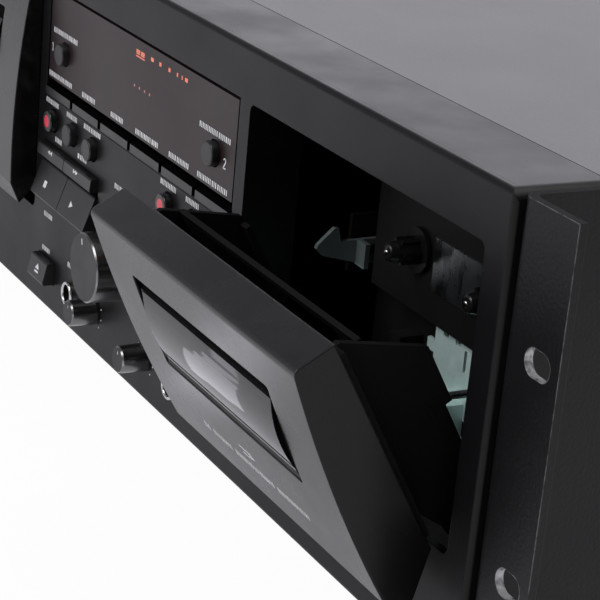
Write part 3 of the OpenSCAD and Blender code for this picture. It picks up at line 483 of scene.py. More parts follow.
knobLook = {
    "side": colour(0.005, 0.005, 0.006), "face": colour(0.01, 0.01, 0.0115), "rough": 0.2,
    "faceRough": 0.16, "faceFrom": (-0.9, -0.97), "coatIor": 2.6, "coatRough": 0.22}


def knobFinish():
    # glossy black sides with a satin grey face
    mat = surfaced(
        "knobPlastic", mouldGrain, {"Grain": 1800.0}, knobLook["side"], knobLook["rough"],
        bumpStrength=0.04, bumpDepth=0.00002, ior=1.4, edgeMm=0.25)
    tree, skin = shaderOf(mat)
    facing = facingAxes(tree)
    cap = ramp(tree, facing["Y"], *knobLook["faceFrom"])
    body = linked(skin, "Base Color")
    feed(tree, skin.inputs["Base Color"], blendColour(tree, cap, body, knobLook["face"]))
    gloss = linked(skin, "Roughness")
    rougher = times(tree, cap, knobLook["faceRough"])
    feed(tree, skin.inputs["Roughness"], plus(tree, gloss, rougher, clamp=True))
    feed(tree, skin.inputs["Coat Weight"], minus(tree, 1.0, cap))
    skin.inputs["Coat IOR"].default_value = knobLook["coatIor"]
    skin.inputs["Coat Roughness"].default_value = knobLook["coatRough"]
    return mat


board = {"green": colour(0.02, 0.1, 0.04), "dark": colour(0.012, 0.012, 0.013), "frontMm": 15.0}


def boardFinish():
    # green laminate; the pots and bushes that reach to the panel are dark metal
    def laminate(tree):
        return blendColour(tree, nearY(tree, board["frontMm"]), board["green"], board["dark"])

    return surfaced(
        "boardLaminate", mouldGrain, {"Grain": 400.0}, None, 0.4, bumpStrength=0.1, baseMaker=laminate)


# the darker zinc colour is painted shade for the hooks deep in the bay
zinc = {"pale": colour(0.76, 0.96, 0.93), "oiled": colour(0.19, 0.23, 0.23), "fade": (-0.003, 0.001)}


def zincFinish():
    # zinc plate with a pale chromate; the hooks higher up get a darker colour, painted shade
    hooked = boxInMm("head_slide_1")[1][2] / 1000 + footZ

    def plated(tree):
        split = placeAxes(tree)
        # painted shade: parts above the slide's top take the dark colour
        higher = ramp(tree, split["Z"], *(hooked + shift for shift in zinc["fade"]))
        return blendColour(tree, higher, zinc["pale"], zinc["oiled"])

    return surfaced(
        "zincPlate", brushedMetal, {"Stretch": (300.0, 300.0, 900.0), "Stain": 160.0}, None, 0.42,
        metallic=0.3, bumpStrength=0.12, baseMaker=plated)


# the shade entries and the brow band set painted shade on the function and play keys
keyLook = {
    "base": colour(0.012, 0.012, 0.0135), "rough": 0.36, "roundRough": 0.06,
    "roundBase": colour(0.009, 0.009, 0.0095), "shade": colour(0.0015, 0.0015, 0.0015),
    "shadeRough": 0.5, "browMm": (1.7, 0.7), "frontFrom": (-0.95, -0.8)}


def inBand(tree, height, node):
    # 1 where a height lies between a node's foot and its top
    low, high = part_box(node)
    half = (high[2] - low[2]) / 2
    offCentre = maths(tree, "ABSOLUTE", minus(tree, height, (low[2] + high[2]) / 2))
    return ramp(tree, offCentre, half, half + 0.0001, 1.0, 0.0)


def keyFinish():
    # black keys, the round ones a little duller; painted shade makes the function keys almost black away from
    # their fronts, and darkens the play keys below their brows, standing in for their shadows
    mat = surfaced(
        "keyPlastic", mouldGrain, {"Grain": 1700.0}, keyLook["base"], keyLook["rough"],
        bumpStrength=0.12, bumpDepth=0.00003, dust=0.05, ior=1.53, edgeMm=0.2)
    tree, skin = shaderOf(mat)
    z = placeAxes(tree)["Z"]
    facing = facingAxes(tree)
    dull = maths(tree, "MAXIMUM", inBand(tree, z, "pause_key_1"), inBand(tree, z, "reset_button_1"))
    # painted shade: the function keys' faces turned away from the front go near black, with no reflection
    away = ramp(tree, facing["Y"], *keyLook["frontFrom"])
    slopes = times(tree, away, inBand(tree, z, "function_key_1"))
    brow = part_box("play_key_1")[1][2]
    # painted shadow: a band under the play keys' brows goes near black
    under = ramp(tree, z, *(brow - depth / 1000 for depth in keyLook["browMm"]))
    shaded = maths(tree, "MAXIMUM", slopes, times(tree, under, inBand(tree, z, "play_key_1")))
    gloss = linked(skin, "Roughness")
    rougher = plus(tree, times(tree, dull, keyLook["roundRough"]), times(tree, shaded, keyLook["shadeRough"]))
    feed(tree, skin.inputs["Roughness"], plus(tree, gloss, rougher, clamp=True))
    plain = blendColour(tree, dull, linked(skin, "Base Color"), keyLook["roundBase"])
    feed(tree, skin.inputs["Base Color"], blendColour(tree, shaded, plain, keyLook["shade"]))
    feed(tree, skin.inputs["Metallic"], shaded)
    return mat


# Plain finishes: effect and its values, colour, roughness, and the other settings
plainFinish = {
    "chassis_steel": (brushedMetal, {}, colour(0.5, 0.51, 0.52), 0.45, dict(metallic=1.0, bumpStrength=0.1)),
    "black_screws": (mouldGrain, {}, colour(0.02, 0.02, 0.021), 0.35, dict(metallic=0.6, bumpStrength=0.1)),
    "foot_rubber": (mouldGrain, {"Grain": 900.0}, colour(0.02, 0.02, 0.02), 0.75, dict(bumpStrength=0.3)),
    "transformer_core": (
        brushedMetal, {"Stretch": (30.0, 1800.0, 30.0)}, colour(0.16, 0.15, 0.14), 0.45,
        dict(metallic=0.7, bumpStrength=0.5)),
    "inlet_plastic": (mouldGrain, {}, colour(0.02, 0.02, 0.02), 0.45, dict(bumpStrength=0.2)),
    "line_brass": (
        brushedMetal, {"Stretch": (500.0, 500.0, 500.0)}, colour(0.72, 0.58, 0.28), 0.25,
        dict(metallic=1.0, bumpStrength=0.05)),
    "mechanism_black": (
        paintSpray, {"Pebble": 1300.0}, colour(0.006, 0.006, 0.0065), 0.5,
        dict(bumpStrength=0.15, bumpDepth=0.00004, dust=0.1)),
    "reflector_mirror": (
        brushedMetal, {"Stretch": (260.0, 260.0, 40.0)}, colour(0.5, 0.54, 0.55), 0.26,
        dict(metallic=1.0, bumpStrength=0.1, bumpDepth=0.00005)),
    "motor_steel": (brushedMetal, {}, colour(0.42, 0.43, 0.44), 0.4, dict(metallic=1.0, bumpStrength=0.1)),
    "holder_plastic": (
        mouldGrain, {"Grain": 1400.0}, colour(0.006, 0.006, 0.0065), 0.7,
        dict(bumpStrength=0.15, bumpDepth=0.00004, ior=1.2)),
    "reel_plastic": (
        mouldGrain, {"Grain": 2200.0}, colour(0.012, 0.012, 0.013), 0.22, dict(bumpStrength=0.06)),
    "flywheel_steel": (
        brushedMetal, {"Stretch": (900.0, 60.0, 900.0)}, colour(0.55, 0.56, 0.57), 0.28,
        dict(metallic=1.0, bumpStrength=0.1)),
}


def camelName(slot):
    first, *rest = slot.split("_")
    return first + "".join(map(str.capitalize, rest))


slotFinish = {
    "panel_paint": paintFinish("panelPaint", "panel", 0.18, 0.00004, 0.12),
    "cover_paint": paintFinish("coverPaint", "cover", 0.3, 0.00006, 0.14),
    "rear_paint": paintFinish("rearPaint", "ear", 0.3, 0.00008, 0.1),
    "ear_paint": earFinish(),
    "door_paint": doorFinish(),
    "display_smoke": displayFinish(),
    "board_laminate": boardFinish(),
    "jack_nickel": jackFinish(),
    "door_glass": glassFinish(),
    "zinc_plate": zincFinish(),
    "knob_plastic": knobFinish(),
    "record_red": recordFinish(),
    "key_plastic": keyFinish(),
}
for slot, (effect, values, base, rough, more) in plainFinish.items():
    slotFinish[slot] = surfaced(camelName(slot), effect, values, base, rough, **more)

slotOf = {part["node"]: part["material_slot"] for part in frame["record"]["subparts"]}
for nodeName, cadObject in frame["nodes"].items():
    cadObject.data.materials.clear()
    cadObject.data.materials.append(slotFinish[slotOf[nodeName]])
print("finishes on", len(frame["nodes"]), "nodes")


# Inks and lights of the printed and lit marks
def inkFinish(name, base, rough):
    return surfaced(
        name, mouldGrain, {"Grain": 4000.0, "Smear": 300.0}, base, rough, bumpStrength=0.1,
        bumpDepth=0.00001)


def glowFinish(name, base, strength):
    mat, tree, skin = newMaterial(name)
    flicker = noise(tree, objectPlace(tree), 900.0, 2.0)
    feed(tree, skin.inputs["Base Color"], colour(0.02, 0.004, 0.003))
    feed(tree, skin.inputs["Emission Color"], tinted(tree, base, ramp(tree, flicker, 0.3, 0.7, 0.75, 1.2)))
    skin.inputs["Emission Strength"].default_value = strength
    skin.inputs["Roughness"].default_value = 0.3
    return mat


whiteInk = inkFinish("whiteInk", colour(0.88, 0.88, 0.9), 0.5)
redGlow = glowFinish("redGlow", colour(1.0, 0.23, 0.14), 0.78)
faintGlow = glowFinish("faintGlow", colour(0.9, 0.33, 0.28), 0.48)
steelTip = surfaced(
    "steelTip", brushedMetal, {"Stretch": (600.0, 600.0, 600.0)}, colour(0.7, 0.7, 0.69), 0.15,
    metallic=1.0, bumpStrength=0.03)


def linkMesh(name, verts, faces, mat):
    mesh = bpy.data.meshes.new(name)
    mesh.from_pydata([tuple(v) for v in verts], [], [tuple(f) for f in faces])
    mesh.validate()
    mesh.materials.append(mat)
    obj = bpy.data.objects.new(name, mesh)
    scene.collection.objects.link(obj)
    return obj


def putPiece(name, verts, faces, body, slot, mat, smooth=False):
    obj = linkMesh(name, verts, faces, mat)
    if smooth:
        obj.data.polygons.foreach_set("use_smooth", np.ones(len(obj.data.polygons), bool))
    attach(obj, body)


def gridQuads(rows, columns, closed=False):
    # quads of a grid whose columns close on themselves, and its rows too if asked
    i, j = np.meshgrid(np.arange(rows if closed else rows - 1), np.arange(columns), indexing="ij")
    below, after = (i + 1) % rows, (j + 1) % columns
    corners = [(i, j), (below, j), (below, after), (i, after)]
    return np.stack([row * columns + column for row, column in corners], -1).reshape(-1, 4)


# A flat mark is a list of closed outlines in (x, z), each raised as a thin plate
inkDepth, inkSink = 0.03, 0.005


def platesFrom(outlines, faceAt, depth=inkDepth):
    # each outline becomes a prism: a front cap at the face, a ring of side faces
    verts, faces, start = [], [], 0
    for outline in outlines:
        outline = np.asarray(outline, float)
        count = len(outline)
        near = faceAt(outline, -depth)
        far = faceAt(outline, inkSink)
        verts.append(np.vstack([near, far]))
        ring = np.arange(count)
        after = (ring + 1) % count
        faces.append(tuple(start + ring))
        faces.extend(map(tuple, start + np.stack([after, ring, ring + count, after + count], 1)))
        start += 2 * count
    return deckArray(np.vstack(verts)), faces


def onPlane(y):
    # carries (x, z) outlines to a plane facing the front at depth y
    def carry(outline, lift):
        return np.stack([outline[:, 0], np.full(len(outline), y + lift), outline[:, 1]], 1)
    return carry


def bar(x, z, w, h):
    return [(x - w / 2, z - h / 2), (x + w / 2, z - h / 2), (x + w / 2, z + h / 2), (x - w / 2, z + h / 2)]


def disc(x, z, r, steps=20):
    turn = np.linspace(0, 2 * np.pi, steps, endpoint=False)
    return np.stack([x + r * np.cos(turn), z + r * np.sin(turn)], 1)


def arrow(x, z, w, h):
    # triangle pointing right for a positive width, left for a negative one
    return [(x - w / 2, z - h / 2), (x + w / 2, z), (x - w / 2, z + h / 2)][:: 1 if w > 0 else -1]


letter = {"pitch": 0.6, "gap": 0.3, "widths": np.array([1.0, 0.72, 0.9, 0.6, 1.05, 0.8, 0.95])}


def letterBars(left, z, w, h):
    # one word: uneven bars side by side that fill its width, wider in taller words
    gap = letter["gap"] * h
    count = max(1, round(w / (letter["pitch"] * h)))
    share = np.resize(letter["widths"], count)
    share = share / share.sum() * (w - gap * (count - 1))
    start = left + np.cumsum(np.append(0, share[:-1] + gap))
    return [bar(s + part / 2, z, part, h) for s, part in zip(start, share)]


def wordBars(x, z, words, h, gap=0.9):
    # a row of words centred at x
    total = sum(words) + gap * (len(words) - 1)
    left = x - total / 2 + np.cumsum([0] + [w + gap for w in words[:-1]])
    return sum((letterBars(start, z, w, h) for start, w in zip(left, words)), [])


def markPiece(name, outlines, faceAt, body, mat=whiteInk, slot="key_plastic", depth=inkDepth):
    verts, faces = platesFrom(outlines, faceAt, depth)
    putPiece(name, verts, faces, body, slot, mat)


def stroke(points, width):
    # a ribbon of constant width along a polyline: each point goes half a width to both sides of its direction
    points = np.asarray(points, float)
    along = np.gradient(points, axis=0)
    along /= np.linalg.norm(along, axis=1, keepdims=True)
    side = np.stack([-along[:, 1], along[:, 0]], 1) * width / 2
    return np.vstack([points + side, (points - side)[::-1]])[::-1]


def figureOne(x, z, h):
    return [stroke([(x, z + 0.2 * h), (x, z - 0.5 * h)], 0.15 * h),
            stroke(
                [(x - 0.24 * h, z + 0.3 * h), (x - 0.1 * h, z + 0.38 * h), (x + 0.06 * h, z + 0.5 * h)],
                0.13 * h),
            bar(x, z + 0.36 * h, 0.15 * h, 0.3 * h)]


def figureTwo(x, z, h):
    # a bowl of about 200 degrees on top, a slanted leg and a flat foot
    turn = np.radians(np.linspace(165, -42, 12))
    bowl = np.stack([x + 0.24 * h * np.cos(turn), z + 0.25 * h + 0.22 * h * np.sin(turn)], 1)
    leg = np.array([(x - 0.02 * h, z - 0.16 * h), (x - 0.24 * h, z - 0.42 * h)])
    return [stroke(np.vstack([bowl, leg]), 0.14 * h), bar(x + 0.01 * h, z - 0.43 * h, 0.56 * h, 0.14 * h)]


# Printed rows on the panel, as x, z and the widths of the bars
panelPrint = {
    "height": 1.8,
    "rows": [
        (-69, 76, [11.5]), (-50.8, 75.7, [9.2]), (-32.4, 75.9, [5.5, 8]), (30.4, 76.1, [11.5]),
        (48.3, 76, [9.2]), (67, 76, [5.5, 8]), (-61.8, 64, [5.8]), (-39.8, 64.1, [1.5, 5.5]),
        (38.5, 64.1, [5.8]), (61.8, 64, [1.5, 5.5]), (-3.2, 63.5, [6.2, 8.2]), (-43.5, 23.2, [8]),
        (43.5, 23.2, [8]), (-68.5, 21.6, [7]), (68.5, 21.6, [7]), (-68, 34.5, [7.5]), (68, 34.5, [7.5]),
        (-21.8, 23.2, [6.2]), (21.8, 23.2, [6.2]), (-196, 24.4, [8])]}
displayPrint = {
    "height": 1.8, "face": 0.2,
    "rows": [
        (-60.5, 101.95, [12.5, 8]), (59.8, 101.6, [12.5, 8]), (-63.3, 86, [9.5, 3, 6.5]),
        (-37.6, 86, [11.2]), (-13, 86, [10]), (11.4, 86, [12, 4.8]), (36.1, 86, [5.2, 8.5]),
        (60.3, 86, [9.5, 3, 6.5])],
    "figures": [(-71.6, 95.6, 3.1), (67.6, 94.2, 3.2)]}


def printedRows(spec):
    return sum((wordBars(x, z, words, spec["height"]) for x, z, words in spec["rows"]), [])


markPiece("panelPrint", printedRows(panelPrint), onPlane(0), "cabinet", slot="panel_paint")
one, two = displayPrint["figures"]
displayRows = printedRows(displayPrint) + figureOne(*one) + figureTwo(*two)
markPiece("displayPrint", displayRows, onPlane(displayPrint["face"]), "cabinet", slot="display_smoke")

# Painted shadow: a black strip on the panel below the function keys stands in for the shaded clearance gap
keyLine = {"height": 0.9, "drop": 0.65, "inset": 0.2, "depth": 0.01}
low, high = boxInMm("function_key_1")
lineWidth = 2 * (abs(low[0]) - keyLine["inset"])
lineInk = inkFinish("lineInk", colour(0.002, 0.002, 0.002), 0.8)
line = [bar(0, low[2] - keyLine["drop"], lineWidth, keyLine["height"])]
markPiece("keyLine", line, onPlane(0), "cabinet", lineInk, "panel_paint", keyLine["depth"])

# Dotted scales round the small knobs
trimScale = {"knobs": [-21.8, 21.8], "z": 15, "ring": 6.4, "dots": 9, "r": 0.32, "sweep": (225, -45)}


def scaleDots(spec):
    turn = np.radians(np.linspace(*spec["sweep"], spec["dots"]))
    ring = spec["ring"] * np.stack([np.cos(turn), np.sin(turn)], 1)
    return [disc(x + dx, spec["z"] + dz, spec["r"], 10) for x in spec["knobs"] for dx, dz in ring]


markPiece("trimScale", scaleDots(trimScale), onPlane(0), "cabinet", slot="panel_paint")

# Plain bars on the rear, above and below the line jacks and above the inlet
rearPrint = {
    "height": 1.8, "above": 5.0, "below": 4.5, "words": ([7, 5], [4.8, 6.4]), "shift": 3, "columns": 4,
    "inletWords": [9, 6], "inletGap": 7.0}


def onRear(y):
    # carries outlines, as seen from behind, to a plane facing the rear
    def carry(outline, lift):
        return np.stack([-outline[:, 0], np.full(len(outline), y - lift), outline[:, 1]], 1)
    return carry


def rearRows(spec):
    low, high = boxInMm("line_jacks")
    step = (high[0] - low[0]) / spec["columns"]
    columns = -(low[0] + step * (np.arange(spec["columns"]) + 0.5))
    rows = []
    for i, x in enumerate(columns):
        for z, words in zip((high[2] + spec["above"], low[2] - spec["below"]), spec["words"]):
            rows += letterBars(x - spec["shift"], z, words[i % 2], spec["height"])
    low, high = boxInMm("power_inlet")
    return rows + wordBars(
        -(low[0] + high[0]) / 2, high[2] + spec["inletGap"], spec["inletWords"], spec["height"])


markPiece("rearPrint", rearRows(rearPrint), onRear(boxInMm("rear_panel")[1][1]), "cabinet", slot="rear_paint")
print("panel, display and rear printed")

# Lit figures and marks behind the display's face
displayLight = {
    "face": 0.2, "figures": [(0.9, 111.5), (4.5, 111.5)], "size": (2.9, 1.5), "stroke": 0.42,
    "underline": (2.7, 110.1, 6.8, 0.45),
    "blocks": [(12.0, 2.2), (18.2, 1.6), (25.1, 1.5), (31.1, 0.9), (34.6, 0.8), (37.7, 1.9)],
    "blockZ": 111.8, "blockH": 1.25, "depth": 0.01, "dots": [-0.5, 3.5, 7.6, 11.5], "dotZ": 100.3,
    "dotR": 0.5}


def segmentFigure(x, z, w, h, t):
    # seven-bar figure without its lower right bar: three flat bars and three upright ones
    sides = [(1, 1), (-1, -1), (-1, 1)]
    upright = [bar(x + a * (w - t) / 2, z + b * h / 4, t, h / 2 - t) for a, b in sides]
    return [bar(x, z + k * (h - t) / 2, w, t) for k in (-1, 0, 1)] + upright


def litMarks(spec):
    w, h = spec["size"]
    lit = sum((segmentFigure(x, z, w, h, spec["stroke"]) for x, z in spec["figures"]), [])
    lit.append(bar(*spec["underline"]))
    return lit + [bar(x, spec["blockZ"], w, spec["blockH"]) for x, w in spec["blocks"]]


litDots = [disc(x, displayLight["dotZ"], displayLight["dotR"], 10) for x in displayLight["dots"]]
for name, lit, glow in (("litFigures", litMarks(displayLight), redGlow), ("litDots", litDots, faintGlow)):
    face = onPlane(displayLight["face"])
    markPiece(name, lit, face, "cabinet", glow, "display_smoke", displayLight["depth"])

# Symbols on the keys: the wedge faces lean, so their depth follows the height
keyFace = {
    "play": {"foot": 0.8, "brow": 0.5, "lean": 4.3},
    "forward": {"foot": 0.5, "brow": 0.5, "lean": 0.3},
    "eject": {"foot": 0.8, "brow": 0.5, "lean": 1.5},
}


def faceOf(node, spec):
    # the face runs from the foremost line near the key's foot back to its brow
    low, high = boxInMm(node)
    middle = ((low[0] + high[0]) / 2, (low[2] + high[2]) / 2)
    return middle, onSlope((low[2] + spec["foot"], low[1]), (high[2] - spec["brow"], low[1] + spec["lean"]))


def onSlope(foot, brow):
    # depth as a straight line between two points (z, y), lifted along the face's normal
    (z0, y0), (z1, y1) = foot, brow
    slope = (y1 - y0) / (z1 - z0)
    unit = np.array([1.0, -slope]) / math.hypot(1.0, slope)

    def carry(outline, lift):
        depth = y0 + slope * (outline[:, 1] - z0)
        return np.stack([outline[:, 0], depth + lift * unit[0], outline[:, 1] + lift * unit[1]], 1)
    return carry


def signOutlines(sign, x, z):
    return {
        "stop": [bar(x, z, 2.4, 2.3)],
        "play": [arrow(x, z, 2.6, 2.4)],
        "rewind": [arrow(x + k, z, -1.8, 1.6) for k in (-1.0, 1.0)],
        "forward": [arrow(x + k, z, 1.8, 1.6) for k in (-1.0, 1.0)],
        "eject": [[(x - 1.7, z), (x + 1.7, z), (x, z + 2)], bar(x, z - 1, 3.4, 0.7)],
    }[sign]


def keySymbols(decks=("1", "2")):
    # each sign's slope and its shift from the middle of its key
    slopes = {
        "stop": ("play", -2.7, -1.2), "play": ("play", -2.7, -1.2), "rewind": ("forward", -0.5, 0.9),
        "forward": ("forward", -1.4, 0.9), "eject": ("eject", 0, 0)}
    for sign, (slope, shiftX, shiftZ) in slopes.items():
        for deck in decks:
            node = sign + ("_button_" if sign == "eject" else "_key_") + deck
            (x, z), face = faceOf(node, keyFace[slope])
            markPiece(sign + "Sign" + deck, signOutlines(sign, x + shiftX, z + shiftZ), face, node)


keySymbols()

# Pointer marks on the knobs' faces
pointers = {
    "level_knob": (104, 7.6, 9.6, 0.6), "trim_knob_left": (90, 1.8, 2.8, 0.3),
    "trim_knob_right": (90, 1.8, 2.8, 0.3)}
for knobName, (angle, inner, outer, width) in pointers.items():
    low, high = boxInMm(knobName)
    way = np.array([math.cos(math.radians(angle)), math.sin(math.radians(angle))])
    line = ((low + high) / 2)[[0, 2]] + np.outer(np.linspace(inner, outer, 3), way)
    markPiece(
        knobName + "Pointer", [stroke(line, width)], onPlane(low[1]), knobName, whiteInk, "knob_plastic")

# Plain bars below the windows of the doors
doorShape = {
    "bow": 370, "crown": 62, "set": 7.8, "thick": 17.3, "top": 115.7, "hinge": (25.3, 19.6),
    "centre": 144.65, "open": {"left_door": 0, "right_door": 30}}
doorPrint = {"drop": 60.8, "words": [3.6, 11.6, 23, 17.6], "gap": 2.6, "height": 2.2, "signDrop": 55.6}


def openDoor(spec, body, x, y, z):
    # turns points of the closed door about its hinge to where the door rests
    angle = math.radians(spec["open"][body])
    hingeY, hingeZ = spec["hinge"]
    y, z = y - hingeY, z - hingeZ
    centreX = spec["centre"] * (-1 if body == "left_door" else 1)
    c, s = math.cos(angle), math.sin(angle)
    return np.stack([centreX + x, hingeY + y * c - z * s, hingeZ + y * s + z * c], 1)


def onDoor(spec, body):
    # the door's front is a circle in depth and height
    bowY, bowZ = spec["set"] - spec["thick"] + spec["bow"], spec["top"] - spec["crown"]

    def carry(outline, lift):
        depth = bowY - np.sqrt((spec["bow"] - lift) ** 2 - (outline[:, 1] - bowZ) ** 2)
        return openDoor(spec, body, outline[:, 0], depth, outline[:, 1])
    return carry


for body in ("left_door", "right_door"):
    top, spec = doorShape["top"], doorPrint
    row = wordBars(0, top - spec["drop"], spec["words"], spec["height"], spec["gap"])
    sign = top - spec["signDrop"]
    row += [
        bar(-1.2, sign + 0.9, 7, 0.5), [(1.4, sign - 1.0), (4.8, sign), (1.4, sign + 1.0)],
        bar(-1.2, sign - 0.9, 4, 0.5)]
    markPiece(body + "Print", row, onDoor(doorShape, body), body, whiteInk, "door_paint")

# Felts round the bowed panes: grey below and at the left end; above, at the right end and on the bow's end a
# black copy, painted shadow
paneShape = {
    "width": 83.0, "height": 30.5, "drop": 28.3, "set": 0.2, "wall": 2.6, "gap": 0.2, "above": 5.0,
    "below": 2.8, "peak": 4.5, "r": 120.0}
paneBow = {"proud": 1.1, "r": 37.0, "peak": 1.2, "inset": 2.3, "steps": 24, "skin": 0.01, "end": 0.35}
felt = {"room": 0.1, "proud": 0.06, "topThick": 1.2, "lowThick": 2.4}


def onWindow(body, depthAt):
    # carries (x, height from the window's middle) to the tilted window, at a depth given for each height
    pane, door = paneShape, doorShape
    tilt = math.asin((door["crown"] - pane["drop"]) / door["bow"])
    centreY = door["set"] - door["thick"] + door["bow"] * (1 - math.cos(tilt))
    centreZ = door["top"] - pane["drop"]

    def carry(outline, lift):
        depth = depthAt(outline[:, 1]) + lift
        y = centreY + depth * math.cos(tilt) + outline[:, 1] * math.sin(tilt)
        z = centreZ - depth * math.sin(tilt) + outline[:, 1] * math.cos(tilt)
        return openDoor(door, body, outline[:, 0], y, z)
    return carry


def sagOf(r, offset):
    # how far a circle falls back at an offset from its foremost point
    return r - np.sqrt(r ** 2 - offset ** 2)


def paneDepth(height):
    # the pane's front is a circle whose foremost line lies below the window's middle
    return paneShape["set"] + sagOf(paneShape["r"], height + paneShape["peak"])


def flangeDepth(height):
    # the pane's flat flange behind the door's wall
    depth = paneShape["wall"] + paneShape["height"] ** 2 / (8 * doorShape["bow"]) + paneShape["gap"]
    return np.full(len(height), depth)


def bowDepth(height):
    # the pane's outer skin, a tighter circle that stands proud of the door and meets the pane at both edges
    bow = sagOf(paneBow["r"], height + paneBow["peak"]) - paneBow["proud"]
    return np.minimum(bow, paneDepth(height) - paneBow["skin"])


def bowBack(height):
    # the back of the outer skin, just off the pane
    return paneDepth(height) - paneBow["skin"] / 2


def endDepth(height):
    # the skin's far end, just behind its front
    return bowDepth(height) + paneBow["skin"]


def feltDepth(height):
    # a strip a little proud of the pane
    return paneDepth(height) - felt["proud"]


def bowedSlab(body, x0, x1, frontAt, backAt):
    # a slab between two depths along the pane's height: four corners at each height, joined into strips
    top, foot = paneShape["height"] / 2 - paneShape["above"], paneShape["below"] - paneShape["height"] / 2
    height = np.linspace(top, foot, paneBow["steps"])
    corners = [(x0, frontAt), (x1, frontAt), (x1, backAt), (x0, backAt)]

    def edgeLine(x, depthAt):
        return onWindow(body, depthAt)(np.stack([np.full(len(height), x), height], 1), 0)

    points = np.stack([edgeLine(*corner) for corner in corners], 1).reshape(-1, 3)
    ends = np.array([[0, 1, 2, 3], len(points) - np.arange(1, 5)])
    return deckArray(points), np.vstack([gridQuads(len(height), 4), ends])


def gapFelt(low, high):
    # a straight strip across the window between two heights
    width = paneShape["width"] - 4 * paneShape["gap"]
    return [bar(0, (low + high) / 2, width, high - low - 2 * felt["room"])]


# a black copy of the grey felt, painted shadow for the strips that lie in shade
feltBlack = surfaced(
    "feltBlack", mouldGrain, {"Grain": 2600.0}, colour(0.003, 0.003, 0.003), 0.9, bumpStrength=0.4,
    bumpDepth=0.0001, ior=1.15)
feltGrey = surfaced(
    "feltGrey", mouldGrain, {"Grain": 1900.0}, colour(0.085, 0.085, 0.086), 0.9, bumpStrength=0.6,
    bumpDepth=0.0002, ior=1.2)
for body in ("left_door", "right_door"):
    half = paneShape["height"] / 2
    edge = paneShape["width"] / 2 - paneBow["inset"]
    rim = paneShape["width"] / 2 - 2 * paneShape["gap"]
    far = edge + paneBow["end"]
    glassSkin = slotFinish["door_glass"]
    putPiece(body + "Bow", *bowedSlab(body, -edge, edge, bowDepth, bowBack), body, "door_glass", glassSkin)
    slabs = {"BowEnd": (edge, far, endDepth, feltBlack), "EndFelt": (far, rim, feltDepth, feltBlack),
             "NearFelt": (-rim, -edge, feltDepth, feltGrey)}
    for name, (x0, x1, frontAt, mat) in slabs.items():
        putPiece(body + name, *bowedSlab(body, x0, x1, frontAt, paneDepth), body, "holder_plastic", mat)
    strips = {"TopFelt": (half - paneShape["above"], half, feltBlack, felt["topThick"]),
              "LowFelt": (-half, paneShape["below"] - half, feltGrey, felt["lowThick"])}
    for name, (foot, top, mat, thick) in strips.items():
        face = onWindow(body, flangeDepth)
        markPiece(body + name, gapFelt(foot, top), face, body, mat, "holder_plastic", thick)
print("keys, knobs and doors marked")

# Rounded ends on the reels, each with a bright pin
reelTip = {"r": 2.55, "dome": 0.7, "pinAt": 0.9, "pin": 0.95, "pinDome": 0.45}


def domeGrid(cx, cy, cz, r, height, rings=8, steps=24):
    # a flat dome: radius r sin(t) and height h cos(t) for t from 0 to a right angle, turned about y
    turn = np.linspace(0, 2 * np.pi, steps, endpoint=False)
    t, a = np.meshgrid(np.linspace(0.02, np.pi / 2, rings), turn, indexing="ij")
    points = [cx + r * np.sin(t) * np.cos(a), cy - height * np.cos(t), cz + r * np.sin(t) * np.sin(a)]
    ring = np.arange(steps)
    return deckArray(np.stack(points, -1).reshape(-1, 3)), [
        *gridQuads(rings, steps), ring[::-1], (rings - 1) * steps + ring]


for reelName in ("reel_1_left", "reel_1_right", "reel_2_left", "reel_2_right"):
    low, high = boxInMm(reelName)
    x, z = ((low + high) / 2)[[0, 2]]
    verts, faces = domeGrid(x, low[1], z, reelTip["r"], reelTip["dome"])
    putPiece(reelName + "End", verts, faces, reelName, "reel_plastic", slotFinish["reel_plastic"], True)
    verts, faces = domeGrid(
        x, low[1] - reelTip["dome"] * reelTip["pinAt"], z, reelTip["pin"], reelTip["pinDome"])
    putPiece(reelName + "Pin", verts, faces, reelName, "zinc_plate", steelTip, True)
print("reel tips set")

# Rounded nickel rings on the phone jacks
jackRing = {"tube": 0.66, "steps": (36, 14)}


def ringGrid(cx, cy, cz, major, minor, steps):
    # a torus about y: radius major + minor cos(b) and depth minor sin(b)
    turns = [np.linspace(0, 2 * np.pi, count, endpoint=False) for count in steps]
    a, b = np.meshgrid(*turns, indexing="ij")
    reach = major + minor * np.cos(b)
    points = [cx + reach * np.cos(a), cy + minor * np.sin(b), cz + reach * np.sin(a)]
    quads = gridQuads(*steps, closed=True)[:, [0, 3, 2, 1]]
    return deckArray(np.stack(points, -1).reshape(-1, 3)), quads


for jackName in ("phone_jack_left", "phone_jack_right"):
    bore = mountNamed(jackName)
    low, high = boxInMm("front_jacks")
    x, z = bore["pos_m"][0] * 1000, (bore["pos_m"][2] - footZ) * 1000
    verts, faces = ringGrid(
        x, low[1], z, bore["dims"]["r_mm"] + jackRing["tube"], jackRing["tube"], jackRing["steps"])
    putPiece(jackName + "Ring", verts, faces, "cabinet", "jack_nickel", steelTip, True)
print("jack rings set")

# Camera at the photograph's place
cameraSpec = {
    "place": (598.3, -268.5, 267.6), "right": (0.4606, 0.8833, 0.0878), "up": (-0.3394, 0.0838, 0.9369),
    "lens": 125.51, "sensor": 36.0}


def placeCamera(spec):
    data = bpy.data.cameras.new("camera")
    data.lens, data.sensor_width, data.sensor_fit = spec["lens"], spec["sensor"], "HORIZONTAL"
    data.clip_start, data.clip_end = 0.01, 50
    cam = bpy.data.objects.new("camera", data)
    scene.collection.objects.link(cam)
    right = Vector(spec["right"]).normalized()
    up = Vector(spec["up"])
    up = (up - up.project(right)).normalized()
    back = right.cross(up)
    turn = Matrix((right, up, back)).transposed().to_4x4()
    cam.matrix_world = Matrix.Translation(deckArray(spec["place"])) @ turn
    scene.camera = cam


placeCamera(cameraSpec)
print("camera placed")

